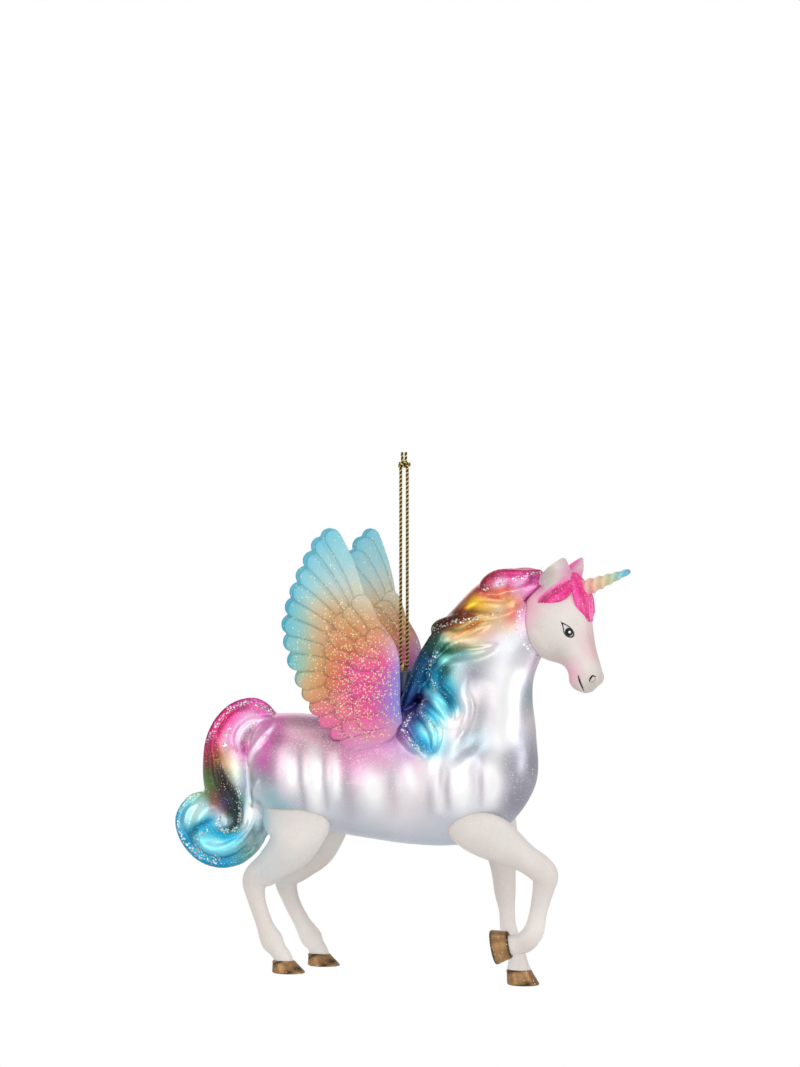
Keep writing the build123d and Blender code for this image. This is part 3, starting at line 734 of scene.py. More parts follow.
# Locks of mane and ridges of the tail: a thickness, then the path each one follows in the picture.
LOCKS = [
    (3.0, "541,572 520,578 500,580 488,586 484,592"),
    (2.5, "540,585 522,592 505,600 490,606"),
    (2.6, "530,605 505,606 480,605 462,610"),
    (2.4, "500,615 480,618 460,622 440,627 433,632"),
    (1.8, "495,622 475,630 455,638 440,642"),
    (2.0, "500,645 480,652 460,655 445,660 436,672"),
    (2.2, "470,650 450,660 438,672 437,690 446,700 453,712 452,722"),
    (2.0, "440,665 428,680 427,692 436,702 444,712 449,724"),
    (2.4, "432,635 424,660,-3.0 412,690,-5.6 400,712"),
    (2.0, "424,700 421,712 430,722 436,735 434,752"),
    (1.8, "410,714 402,730 412,745 424,757"),
    (1.5, "474,668 466,690 470,710 464,730 452,747"),
]
RIDGES = [
    (1.3, "274,714 264,704.5 250,701.5 233,707 218,721.5 208.6,741 206.2,758 207.4,777"),
    (2.4, "217,726 213.5,744.5 216,762.7 219.5,779.7 227,794 233,808.7 234,819.6 228,825.7 220,823"),
    (2.0, "269,718.5 252,722 241.3,731 237.7,743.3 242.5,756.6"),
    (1.8, "274,725 263,738.5 252,753 248.6,767.5"),
    (1.5, "205,792 191.7,796.6 180.8,811 179.5,825.7 186.8,842.7 201.3,857 219.5,863 236,861 247,855.5 "
          "255,849,-1.0 263,840,-1.0"),
    (2.2, "194,838 205,846 219.5,850 235.3,844 248.6,829.3 254.7,811"),
    (1.9, "201,802.7 190.4,811 186.8,823.3 189.2,833"),
    (1.5, "262,772 256,790 253,808"),
    (1.5, "220.5,822.5 223.5,819.5 227.5,821"),
]
LOCK_ENDS, RIDGE_ENDS = (0.05, 0.90), (0.05, 0.95)
LOCK_SINK, THIN_LOCK_SINK, RIDGE_SINK = 0.25, 0.6, 0.42
THIN_LOCK = 1.5
GLASS_VOXEL = 0.36


def strand(girth, path, sink, ends):
    """One lock on the bare glass, thin at both ends. A third number in its path is its place to the left."""
    spots = np.array([touch(bare_tree, *p, -1.5) if len(p) == 2 else seen(*p) for p in line(path)])
    share = np.sin(np.linspace(*ends, len(spots)) * math.pi) ** 0.7
    spots[:, 1] += girth * sink * share + 0.5 * (1 - share)
    return tube(np.column_stack([spots, girth * share, girth * share]), LEFT, 8, 18)


hairs = [strand(r, path, LOCK_SINK if r > THIN_LOCK else THIN_LOCK_SINK, LOCK_ENDS) for r, path in LOCKS]
hairs += [strand(r, path, RIDGE_SINK, RIDGE_ENDS) for r, path in RIDGES]
twins = [mirrored(part) for part in hairs]
glass = cast("glass_body", joined(bare, *hairs, *twins, tube(PIKE, LEFT, 4, 28)), GLASS_VOXEL, 5)

# Soft hollows in the glass: depth and width in millimetres, then the path each one follows in the picture.
# The paint is darkened in them too, as painted shade.
HOLLOWS = [
    (0.45, 2.3, "299,742 298,778 300,818"), (0.40, 1.8, "324,744 323,780 326,818"),
    (0.60, 3.0, "350,752 345,785 350,825"), (0.45, 2.8, "394,758 390,790 393,825"),
    (0.60, 2.2, "452,732 441,758 438,785 437,826"), (0.50, 1.9, "444,768 462,750 486,738"),
    (0.45, 1.8, "474,758 476,785 473,815"), (0.50, 2.6, "478,750 505,758 536,748"),
    (0.50, 2.8, "484,680 472,720 464,755"), (0.40, 2.4, "523,655 529,700 523,745"),
    (0.80, 0.9, "214.7,818.4 205,823.3 196.5,827 190.4,834 188.6,841"),
]


def hollows(flat):
    """The depth of each hollow at places in the picture."""
    for depth, width, path in HOLLOWS:
        cover, share = soft_line(flat, path, width)
        yield depth * cover * np.sin(share * math.pi)


spots = get_points(glass)
sunk = sum(hollows(near_pixels(spots))) * np.clip(np.abs(spots[:, 1]) / 4 - 0.5, 0, 1)
set_points(glass, spots - get_normals(glass) * sunk[:, None])
relaxed(glass, 2)

# Colours of the glass as they look in the studio light, so some light and shade is painted in. bright_silver
# is a painted highlight and dark_silver is painted shade. The greys of cool_silver along the belly are partly
# painted shade. The pale and dark spots of the mane and tail are partly painted highlights and shade.
GLASS_TINTS = paints("""
blush=E4C2BC 489,635 516,625 232,755
salmon=E08A80 510,592 495,592 520,606 514,613 512,618
peach=DCB89A 501,609 460,640 475,636 502,620 226,765
amber=DAAC70 491,604 507,600 453,632
yellow=F4C440 475,601
ochre=C49656 462,628 480,620
copper=B47436 465,603 470,598 470,627
brown=865234 455,611 470,612 217,758 215,800
umber=6E3418 449,623 458,617
moss=627A46 207,775 212,785
jade=3E8A70 449,652
ice=C4ECF0 445,718 195,808 199,817
frost=A4E0E8 440,706 427,730 190,822 206,805 218,842
aqua=80D4DE 443,659 434,695 436,738 187,808 205,840 235,845
cyan=50B8D0 436,715 452,708 200,846
sage=78AAA6 462,652 452,657 452,675 243,800 245,852
teal=1090AE 439,680 433,672 449,700 446,690 205,822 196,829 190,840 225,835
pine=265858 434,632 435,638 430,650 444,668 236,812 236,822
azure=44A2C2 428,690 429,705 431,749 415,727 424,722 180,815 230,858
ocean=2A9ABE 420,741 184,835 217,834 215,858 200,858
petrol=1C5C82 432,662 422,664 415,684
violet=5C548E 410,708 424,700 411,733 412,720 224,800
navy=204480 408,694 403,705
lilac=BA9EC0 404,746 410,756 400,752
pink=EEA8D0 501,583 518,585 524,600 519,612 252,712 236,740
rose=DAA6C6 385,760 370,765 226,742 252,745 258,752
orchid=DE8ABA 530,585 350,760 232,728
mauve=C096A6 330,750 318,740 300,735 290,725
fuchsia=D26EB0 531,577 275,725 268,745 262,760 240,712 262,712 240,750
magenta=C03C90 250,701 233,707 218,722 209,741
crimson=C02066 542,568 525,567 506,572 224,718 216,730
brick=A64452 491,579 483,590 206,758 213,744
charcoal=4A3E3C 436,628 219,772 222,785 230,795 229,810
pistachio=C0CAB0 447,640 475,648 233,775
bright_silver=E2E4E8 449,734 440,760 456,716 467,694 505,675 509,694 470,800
cool_silver=C0C4CE 461,698 465,752 520,735 455,765 310,815 420,835 460,820 248,790 222,819 350,820
    330,832 380,835 440,842 400,843
frosted_blue=98B6BE 270,797 280,808 256,825 245,838 246,822
neck_silver=C2C0C4 491,660 515,635 520,650 485,680 480,710
blue_silver=AEBEC6 460,680 462,665 470,738 482,741 526,694 240,785
dark_silver=A2A0AC 473,674 525,760 535,785 520,800 264,778
lavender_silver=D0C8D2 420,757 529,670 500,790 470,775 445,790 395,775 345,785 310,790 285,790 243,765
warm_silver=DED6DA 498,640 495,700 500,735 530,720 485,770 430,780 415,790 370,790
    330,780 295,775 400,810 246,735 252,808
""")
GLASS_GAIN, GLASS_DEPTH, GLASS_HOLLOW_SHADE, GLASS_LIMIT = 1.18, 1.18, 0.4, 0.96
# Strokes of paint on the glass: width in millimetres, strength and colour, then paths in the picture.
# First the tail and the mane, then the flank: much of it is painted light and shade, as said at each group.
STROKES = [
    # Tail and mane: the dark lines are partly painted shade in the grooves between locks and in the tail's
    # curl, and the pale lines are mostly painted highlights.
    (0.8, 0.85, "0A7FA6", "216,818 205,823.3 196.5,827 190.4,834 188.6,841"),
    (0.5, 0.6, "1E86B4", "189,804 183,818 186,833 193,844 204,853.6 219.5,857.8 236,853.6 247,846"),
    (2.0, 0.8, "2E2622", "221,772 225,786 229,797"),
    (2.0, 0.75, "303C44", "229,793 233,803 236,815"),
    (1.2, 0.85, "243038", "235,809 237,821 232,827 224,829"),
    (1.2, 0.8, "C8E4EA", "220.5,822 227.5,821"),
    (1.5, 0.75, "8FD8E8", "197,836 206,845.5 223,848.5 239,841"),
    (1.0, 0.85, "0A9CC0", "217,832.5 228,837.6 240,836.4"),
    (1.5, 0.7, "F0F2F2", "245,824 250,812 253.4,802"),
    (1.4, 0.45, "CFF0F4", "185,824 190,814 197,807 204,805.5"),
    (1.2, 0.6, "8A6A62", "213,791 213,803 209,812"),
    (1.0, 0.7, "B0205E", "262,708 248,706 233,712 222,724 215,738 213,752"),
    (0.6, 0.5, "FFF0FA", "269,718.5 252,722 241.3,731 237.7,743.3 242.5,756.6"),
    (0.7, 0.6, "FFF4FA", "274,725 263,738.5 252,753 248.6,767.5"),
    (1.5, 0.8, "4E1E08", "436,627 448,622 458,617 471,611"),
    (1.4, 0.6, "22503F", "434,632 434,641 440,650 450,653 463,650"),
    (1.6, 0.7, "124C78", "424,658 415,684 404,704"),
    (1.6, 0.9, "0A5474", "441,674 440,688 447,700 451,714"),
    (0.9, 0.7, "1A4A44", "447,666 443,673"),
    (0.9, 0.7, "9AF0E0", "449,657 440,661"),
    (0.9, 0.7, "8CE6F2", "430,691 437,699 443,706 445,719"),
    (0.9, 0.7, "A8EEF6", "423,727 431,733 435,743"),
    (1.0, 0.6, "2C7EB4", "416,735 424,744 433,751"),
    (0.4, 0.6, "F0DE98", "446,634 460,628 479,617"),
    (0.4, 0.6, "9A5E30", "450,638 466,630 484,619"),
    (0.4, 0.6, "E8DCA8", "452,643 470,634 486,623"),
    (1.0, 0.6, "A8205A", "541,568 524,567 506,572 492,578 484,590"),
    (0.6, 0.6, "C2407A", "510,577 507,589"),
    (1.2, 0.6, "FBC4E4", "495,585 504,579"),
    (1.0, 0.6, "FBD0EC", "513,591 523,581"),
    (0.9, 0.8, "FFD030", "468,607 475,599"),
    (0.6, 0.5, "A06020", "460,608 468,600"),
    # The rump's painted shadow, then painted white highlights on the flank and neck, with painted grey shade
    # between them and down the chest and the neck's right side.
    (1.8, 0.80, "84707E", "279,738 274,757 273,778"),
    (2.3, 0.75, "FFFFFF", "288,752 289,768 296,788"),
    (2.2, 0.85, "FFFFFF", "314,752 314,780 318,808"),
    (1.2, 0.80, "FFFFFF", "335,756 335,775 337,796"),
    (2.6, 0.75, "FFFFFF", "370,772 373,786 376,801"),
    (3.0, 0.45, "B88CA0", "352,757 370,760 390,759"),
    (1.4, 0.60, "FFFFFF", "408,766 410,777 413,788"),
    (1.2, 0.75, "FFFFFF", "438,780 439,795 440,810"),
    (2.4, 0.70, "FFFFFF", "453,766 459,785 461,808"),
    (1.5, 0.6, "FFFFFF", "469,768 470,792"),
    (2.3, 0.80, "FFFFFF", "492,762 494,780 491,802"),
    (2.6, 0.80, "FFFFFF", "508,672 506,712 499,754"),
    (0.8, 0.6, "A098A4", "300,748 301,780 305,810"),
    (0.8, 0.5, "A89CA6", "325,756 325,780 328,808"),
    (2.0, 0.4, "B89CAC", "352,756 350,785 352,815"),
    (1.6, 0.4, "C4AEBA", "393,764 393,788 395,810"),
    (1.0, 0.5, "A4A4A8", "428,768 429,790 430,812"),
    (0.8, 0.5, "9C9CA0", "447,770 447,788 449,808"),
    (0.9, 0.55, "9C98A4", "482,756 482,780 481,804"),
    (3.2, 0.6, "7C7C88", "511,762 517,788 508,815"),
    (1.6, 0.5, "98929E", "525,690 523,722 518,752"),
]
# Lines of coarse glitter on the glass.
TRAIL_WIDTH = 0.55
TRAILS = [
    "500,613 475,618 455,622 432,629",
    "436,651 428,670 436,690",
    "424,697 420,712 435,728",
    "412,714 402,730 420,752",
    "275,716 262,706 248,702 232,707 218,722 209,740",
    "230,770 237.7,784.5 239.5,800 240,812 239,824.5 233,830.5 223,830.5 217,824.5 218.3,818",
    "201,802.5 206.5,806.5",
    "206,831 197.5,836.6 195.3,846 205,856 219.5,858.4",
    "230,728 224,738 225,750",
    "256,722 246,734 243,748",
    "206,790 190,797 180,810 178,825 184,842 198,856 215,863",
    "484,590 500,583 520,578 541,572",
    "521,610 519,621 520.5,632 525,644 532,653 541,659",
]
# Patches of fine glitter on the glass: strength, then the middle and the half sizes in the picture.
GLASS_GLITTER = [(0.30, 300, 740, 70, 30), (0.18, 390, 762, 60, 30), (0.12, 530, 770, 25, 40)]
LEAST_GLITTER = 0.10


def glitter_patches(flat, patches):
    return LEAST_GLITTER + sum(strength * soft_spot(flat, *spot) for strength, *spot in patches)


flat = near_pixels(get_points(glass))
# Painted shade: the glass colour is darkened where the hollows are deepest.
hollow_shade = GLASS_HOLLOW_SHADE * np.max(list(hollows(flat)), axis=0)
tint = spread(flat, GLASS_TINTS)
for width, strength, code, path in STROKES:
    cover, share = soft_line(flat, path, width)
    tint = laid_on(tint, code, strength * cover * np.sin((0.08 + 0.84 * share) * math.pi) ** 0.5)
paint(glass, "tint", np.minimum(tint ** GLASS_DEPTH * GLASS_GAIN * (1 - hollow_shade[:, None]), GLASS_LIMIT))
mask(glass, "glitter", glitter_patches(flat, GLASS_GLITTER))
mask(glass, "trail", np.max([soft_line(flat, path, TRAIL_WIDTH)[0] for path in TRAILS], axis=0))

silver = Paint("silvered_glass", Metallic=0.86, Coat_Weight=0.25, Coat_Roughness=0.3)
cloud = silver.noise(160.0, 2.0)
pearl = silver.mix(silver.math("MULTIPLY", cloud, 0.4), silver.tint("tint"), WHITE, "SOFT_LIGHT")
colour, lean, _ = silver.glitter(pearl, silver.amount("glitter"), 3600.0, size=0.36, tilt=0.8)
colour, lean, _ = silver.glitter(colour, silver.amount("trail"), 1700.0, size=0.5, tilt=1.0, normal=lean)
silver.surface(colour, lean, (cloud, 0.12, 0.32))
place("painted_glass", glass, "figure", "silvered_glass", silver, "glass_body")
glass_tree = tree_of_mesh(glass)

# Glued pieces get a little glitter all over, and more where they meet the glass.
SEAM_GLITTER_WIDTH, SEAM_LEAST = 0.45, 0.04


def glass_gaps(points):
    """Each point's distance to the glass."""
    return np.array([glass_tree.find_nearest(Vector(p))[3] for p in points])


def seam_glitter(data, gaps, amount):
    mask(data, "glitter", SEAM_LEAST + amount * soft(gaps, SEAM_GLITTER_WIDTH))


# Resin head: skull, ears and cheeks. Rows of the skull: along and out, the half depth, the half width.
HEAD = [
    (-0.069, 0.065, 0.095, 0.118), (0.000, 0.043, 0.218, 0.309), (0.094, -0.082, 0.392, 0.412),
    (0.219, -0.170, 0.500, 0.485), (0.344, -0.210, 0.534, 0.500), (0.453, -0.205, 0.505, 0.478),
    (0.547, -0.145, 0.425, 0.426), (0.625, -0.075, 0.345, 0.360), (0.697, 0.020, 0.250, 0.301),
    (0.772, 0.050, 0.225, 0.272), (0.859, 0.040, 0.230, 0.287), (0.922, 0.035, 0.180, 0.235),
    (0.978, 0.025, 0.055, 0.088),
]
PITCH, YAW = math.radians(74.3), math.radians(12.0)
FORWARD = np.array([math.cos(YAW), -math.sin(YAW), 0.0])
ASIDE = np.array([math.sin(YAW), math.cos(YAW), 0.0])
DOWN = FORWARD * math.cos(PITCH) - UP * math.sin(PITCH)
OUT = -np.cross(ASIDE, DOWN)
HEAD_TOP = body_point(0.525, 0.850)
FACE_LONG, FACE_DEEP, FACE_WIDE = 32.0, 20.0, 13.6
HEAD_VOXEL = 0.26
# Ears are cupped leaves that open forward and to their own side: the rise, the half width, the depth.
EAR = [(-0.14, 2.6, 2.0), (0.05, 3.6, 2.4), (0.25, 4.0, 2.4), (0.50, 3.5, 2.0), (0.72, 2.5, 1.4),
       (0.88, 1.4, 0.9),
       (0.97, 0.6, 0.5), (1.00, 0.15, 0.15)]
EAR_SIDES, EAR_CUP, EAR_BOW = 32, 0.42, 0.7
NOSTRIL_RADII = (2.0, 1.6, 2.2)
# Forms on the head: along, out and aside, the half depth, the half width.
CHEEK = [(0.30, -0.36, -0.33, 2.4, 1.6), (0.42, -0.34, -0.36, 3.0, 1.9), (0.54, -0.24, -0.30, 2.2, 1.5)]
TUFT = [(-0.04, 0.08, 0.0, 1.5, 2.2), (0.04, 0.19, -0.01, 1.7, 2.2), (0.13, 0.29, -0.02, 1.3, 2.0),
        (0.24, 0.335, -0.02, 0.9, 1.6), (0.36, 0.32, -0.03, 0.5, 0.9)]


def head_point(along, out, side):
    return HEAD_TOP + DOWN * along * FACE_LONG + OUT * out * FACE_DEEP + ASIDE * side * FACE_WIDE


def head_tube(rows, side, steps, around):
    return tube([(*head_point(*row[:3]), *row[3:]) for row in rows], side, steps, around)


def over(part):
    """A form's twin on the other side of the face."""
    verts, faces = part
    return verts - 2 * ((verts - HEAD_TOP) @ ASIDE)[:, None] * ASIDE, flipped(faces)


def on_side(u, v, side):
    """The place that a pixel shows at a distance to one side of the face."""
    way = unit(seen(u, v, 0.0) - EYE)
    return EYE + way * (((HEAD_TOP + ASIDE * side - EYE) @ ASIDE) / (way @ ASIDE))


def ear(root, tip):
    """The near ear, bowed a little to the back."""
    upward = unit(tip - root)
    mouth = unit(FORWARD * 0.50 - ASIDE * 0.87)
    across = unit(np.cross(upward, mouth))
    mouth = unit(np.cross(across, upward))
    c, s = np.cos(circle(EAR_SIDES)), np.sin(circle(EAR_SIDES))
    hollow = np.where(s > 0, -EAR_CUP * s, s)
    rings = []
    for rise, width, depth in finer(EAR, 5):
        middle = root + (tip - root) * rise + across * (EAR_BOW * math.sin(max(rise, 0) * math.pi))
        rings.append(middle + across * (width * c)[:, None] + mouth * (depth * hollow)[:, None])
    return capped(rings)


def face_pixels(points):
    """Places in the picture, with the far cheek folded onto the near one."""
    aside = (points - HEAD_TOP) @ ASIDE
    return pixels(points - (aside + np.abs(aside))[:, None] * ASIDE)


rows = finer(HEAD, 5)
skull = skin(np.array([head_point(r[0], r[1], 0) for r in rows]), rows[:, 2:3] * FACE_DEEP * OUT[None],
             rows[:, 3:4] * FACE_WIDE * ASIDE[None], 56, 2.15)
near_ear = ear(on_side(549.5, 586, -5.4), on_side(565, 557.5, -6.8))
nostril_swell = blob(head_point(0.87, 0.16, -0.14), NOSTRIL_RADII)
near_forms = [near_ear, nostril_swell, head_tube(CHEEK, LEFT, 5, 16)]
head = cast("head", joined(skull, *near_forms, *[over(form) for form in near_forms]), HEAD_VOXEL, 6)
head_tree = tree_of_mesh(head)
skull_tree = tree_of(*skull)

# The ear's greys are painted shade: ear_shade at its left rim, ear_hollow in its cup.
FACE_TINTS = paints("""
pink=EEB8CA 572,672 570,682 525,615 535,595
orchid=E69AC0 568,575 539,588
dusk=DABCBC 590,640 594,655
ivory=E8DEDA 560,610 580,610 575,650 585,665 553,564 558,567
bone=E0D8D2 548,590 545,620 555,640 556,578
shell=D8CEC8 545,655 580,685 598,676 598,665 530,648
stone=CCC4BC 560,655 590,688
blush=E6CCD0 523,630 586,600
ear_shade=BAACB0 543,571 541,579
ear_rim=CFC4C0 548,566 563,559 547,584
ear_hollow=C6BCB4 548,576 553,572
""")
FAR_EAR_TINTS = paints("""
hot_pink=EC54B0 569,567 575,561 572,571
pink=E29CC0 580,558
grey=CCC0BC 585,558 583,565
shell=DCD0CA 577,569
""")
HEAD_SEAM_WIDTH, HEAD_SEAM_SHADE, HEAD_GLITTER = 0.35, 0.4, 0.35
spots = get_points(head)
tint = spread(face_pixels(spots), FACE_TINTS, 5.0)
aside = (spots - HEAD_TOP) @ ASIDE
along = (spots - HEAD_TOP) @ DOWN
far_ear = np.clip((-along - 0.5) / 2, 0, 1) * np.clip((aside - 1.5) / 1.5, 0, 1)
tint = tint + (spread(pixels(spots), FAR_EAR_TINTS) - tint) * far_ear[:, None]
gaps = glass_gaps(spots)
paint(head, "tint", tint * (1 - HEAD_SEAM_SHADE * soft(gaps, HEAD_SEAM_WIDTH))[:, None])
seam_glitter(head, gaps, HEAD_GLITTER)

resin = Paint("pearl_resin", Subsurface_Weight=0.06, Subsurface_Scale=0.002, Coat_Weight=0.12,
              Coat_Roughness=0.3)
cloud = resin.noise(220.0, 4.0)
grain = resin.noise(2600.0, 2.0)
dull = resin.math("MULTIPLY_ADD", cloud, 0.30, -0.04)
base = resin.mix(dull, resin.tint("tint"), full("C9BDB4"), "MULTIPLY")
base = resin.specks(base, 0.16, 2500.0, size=0.20, code="DCD2CA")
grained = resin.bump(grain, 0.25, 0.05)
colour, lean, _ = resin.glitter(base, resin.amount("glitter"), 3000.0, size=0.34, tilt=0.7, normal=grained)
resin.surface(colour, lean, (cloud, 0.2, 0.36))
place("painted_head", head, "figure", "pearl_resin", resin, "head")


def on_face(spots, lift):
    """Places a little above the face, under places in the picture."""
    hits = np.array([touch(head_tree, u, v, -5.0) for u, v in spots])
    return hits + unit(EYE - hits) * lift


def patch(outline, lift, rings=5):
    """A thin layer of paint on the face, seen in the picture as an outline."""
    outline = np.array(outline, float)
    middle, n = outline.mean(0), len(outline)
    spots = [middle[None]] + [middle + (outline - middle) * (ring / rings) for ring in range(1, rings + 1)]
    faces = [(0, 1 + k, 1 + (k + 1) % n) for k in range(n)]
    for ring in range(rings - 1):
        a, b = 1 + ring * n, 1 + (ring + 1) * n
        for k in range(n):
            m = (k + 1) % n
            faces.append((a + k, b + k, b + m, a + m))
    return on_face(np.vstack(spots), lift), faces


def brush(path, width, lift, steps=8):
    """A stroke of paint along a path in the picture, pointed at both ends."""
    points = finer(line(path), steps)
    way = unit(np.gradient(points, axis=0))
    side = np.stack([-way[:, 1], way[:, 0]], 1)
    n = len(points)
    share = np.sin(np.linspace(0.06, 0.94, n) * math.pi)[:, None] ** 0.6 * width / 2
    faces = []
    for row in range(2):
        for k in range(n - 1):
            faces.append((row * n + k, row * n + k + 1, (row + 1) * n + k + 1, (row + 1) * n + k))
    return on_face(np.vstack([points - side * share, points, points + side * share]), lift), faces


def ring_of(middle, radius, count=24):
    turns = circle(count)
    return middle + radius * np.stack([np.cos(turns), np.sin(turns)], 1)


# The eye, the mouth and the nostril: outlines and strokes in the picture, each laid a little above the last.
LID = finer(line("561.84,622.17 565.28,623.89 569.87,626.76 573.32,630.78 574.24,634.80 572.74,637.32 "
                 "569.87,637.67 565.86,635.95 563.56,632.50 562.76,627.91 561.84,622.17"), 4)[:-1]
LID_INSIDE = LID.mean(0) + (LID - LID.mean(0)) * 0.80
PUPIL = np.array([568.955, 631.928])
GLINT = PUPIL + np.array([0.6, 0.1])
FACE_PAINT = [
    ("lid", "1C1A20", 0.45, [patch(LID, 0.06), brush("560.6,621.0 562.8,626 563.6,632", 1.0, 0.07),
                             brush("578,675 579.6,681 583.6,690.5", 1.7, 0.07),
                             brush("589.4,681.6 590.3,678.6 592.6,675.8 595.9,676.9", 1.7, 0.07)]),
    ("eye_white", "CFC9CC", 0.4, [patch(LID_INSIDE, 0.09)]),
    ("nostril", "A89E9A", 0.5, [brush("595.9,677.2 595.0,680 592.4,682 589.6,682", 1.1, 0.065)]),
    ("iris", "3A3840", 0.4, [patch(ring_of(PUPIL, 4.3), 0.12)]),
    ("pupil", "08080A", 0.4, [patch(ring_of(PUPIL, 3.3), 0.15)]),
    ("glint", "FFFFFF", 0.12, [patch(ring_of(GLINT, 1.25, 14), 0.18)]),
]
for name, code, rough, parts in FACE_PAINT:
    stroke = Paint("face_" + name, Roughness=rough, Specular_IOR_Level=0.15)
    shade = stroke.math("MULTIPLY", stroke.noise(1500.0), 0.25)
    lighter = (*np.clip(linear(code) * 1.6 + 0.01, 0, 1), 1)
    stroke.put("Base Color", stroke.mix(shade, full(code), lighter))
    data = make_mesh("face_" + name, *joined(*parts, *[over(part) for part in parts]))
    place("face_" + name, data, "figure", "pearl_resin", stroke)

# Forelock: many fine strands combed from between the ears, to both sides and down the face.
FORELOCK = [
    "571,577 562,586 549,594 538,603", "571,580 562,590 551,598 544,603", "571,582 565,592 557,599 550,603",
    "571,585 568,593 563,598 557,602", "570,575 563,583 550,592 537,600",
]
FORELOCK_FRONT = [
    "571,574 574,590 577,604 586,617", "573,576 578,592 582,606 588,621", "575,577 582,592 586,606 590,622",
    "577,580 586,594 590,606 592,618", "574,573 583,584 590,598 594,613",
]
WISP_SHARES = np.array([0.55, 1.0, 1.0, 0.35])
WISP_GIRTH, WISP_LIFT, HAIR_VOXEL = 0.72, 0.35, 0.16
HAIR_TINTS = ["E00A84", "C80668", "F23C9E", "D80E78", "FF8CC8", "B80A60", "EE2290"]


def wisp(path):
    spots = np.array([touch(skull_tree, u, v, 0.0) for u, v in path])
    girth = WISP_GIRTH * WISP_SHARES
    normal = unit(spots - (HEAD_TOP + DOWN * 10 - OUT * 2))
    rows = np.column_stack([spots + normal * WISP_LIFT * girth[:, None], girth, girth])
    return tube(rows, unit(EYE), 8, 12)


def between(paths):
    """The paths, with one more halfway between each two."""
    paths = np.array([line(path) for path in paths])
    return np.concatenate([paths, (paths[1:] + paths[:-1]) / 2])


wisps = []
for path in (*between(FORELOCK), *between(FORELOCK_FRONT)):
    near_wisp = wisp(path)
    wisps += [near_wisp, over(near_wisp)]
lock_data = cast("forelock", joined(*wisps, head_tube(TUFT, ASIDE, 6, 20)), HAIR_VOXEL, 2)
nearest = KDTree(sum(len(verts) for verts, _ in wisps))
shades = []
for k, (verts, _) in enumerate(wisps):
    for spot in verts:
        nearest.insert(Vector(spot), len(shades))
        shades.append(linear(HAIR_TINTS[k // 2 % len(HAIR_TINTS)]))
nearest.balance()
paint(lock_data, "tint", np.array([shades[nearest.find(Vector(p))[1]] for p in get_points(lock_data)]))

hair = Paint("painted_hair", Coat_Weight=0.35, Coat_Roughness=0.2, Roughness=0.38)
comb = hair.noise(1500.0, 3.0, 0.5)
streak = hair.mix(hair.math("MULTIPLY_ADD", comb, 1.2, -0.62), hair.tint("tint"), full("FF9AD0"))
colour, lean, _ = hair.glitter(streak, 0.10, 2600.0, size=0.34, tilt=0.8, normal=hair.bump(comb, 0.4, 0.12))
hair.surface(colour, lean)
place("forelock", lock_data, "figure", "pearl_resin", hair)

# Spiral horn, faded from pink at the root to blue at the tip.
HORN_LONG, HORN_ROOT, HORN_TIP = 15.2, 2.35, 0.65
HORN_TWISTS, HORN_LEAN = 3.0, -20.0
HORN_RINGS, HORN_SIDES = 121, 40
HORN_CLOSE = 0.965
HORN_TINTS = [(0.0, "F0889C"), (0.16, "F2A0A0"), (0.34, "EDB890"), (0.50, "DECB98"), (0.64, "BFC99A"),
              (0.78, "8CCDBE"), (0.90, "3FBFE0"), (1.0, "1CA8DC")]
horn_way = turned(FORWARD, ASIDE, HORN_LEAN)
horn_root = head_point(0.140, 0.270, 0)
horn_up = unit(np.cross(horn_way, ASIDE))
angles = circle(HORN_SIDES)
around = ASIDE * np.cos(angles)[:, None] + horn_up * np.sin(angles)[:, None]


def horn_radius(rise):
    return HORN_ROOT + (HORN_TIP - HORN_ROOT) * rise


rings = []
for t in np.linspace(0, 1, HORN_RINGS):
    twist = angles + FULL_TURN * HORN_TWISTS * t
    groove = horn_radius(t) * (1 + 0.10 * np.cos(2 * twist) + 0.02 * np.cos(4 * twist))
    close = math.sqrt(max(1 - max((t - HORN_CLOSE) / (1 - HORN_CLOSE), 0) ** 2, 0.02))
    rings.append(horn_root + horn_way * (HORN_LONG * t) + around * groove[:, None] * close)
horn_verts, horn_faces = capped(rings)
horn_data = make_mesh("horn", horn_verts, horn_faces)
along = (horn_verts - horn_root) @ horn_way
rise = np.clip(along / HORN_LONG, 0, 1)
stops = [spot for spot, _ in HORN_TINTS]
codes = np.array([linear(code) for _, code in HORN_TINTS])
tint = np.stack([np.interp(rise, stops, codes[:, k]) for k in range(3)], 1)
core_gap = np.linalg.norm(horn_verts - horn_root - along[:, None] * horn_way, axis=1)
# The spiral's grooves are painted darker than its ridges: painted shade.
proud = np.clip((core_gap / horn_radius(rise) - 0.90) / 0.2, 0, 1)[:, None]
paint(horn_data, "tint", tint * (0.72 + 0.28 * proud))

horn = Paint("painted_horn", Coat_Weight=0.2, Coat_Roughness=0.25)
cloud = horn.noise(900.0)
base = horn.mix(horn.math("MULTIPLY", cloud, 0.25), horn.tint("tint"), (1, 0.95, 0.9, 1))
colour, lean, _ = horn.glitter(base, 0.05, 3000.0, size=0.34, tilt=0.7, normal=horn.bump(cloud, 0.2, 0.1))
horn.surface(colour, lean, (cloud, 0.2, 0.35))
place("painted_horn", horn_data, "figure", "horn_resin", horn, "horn")

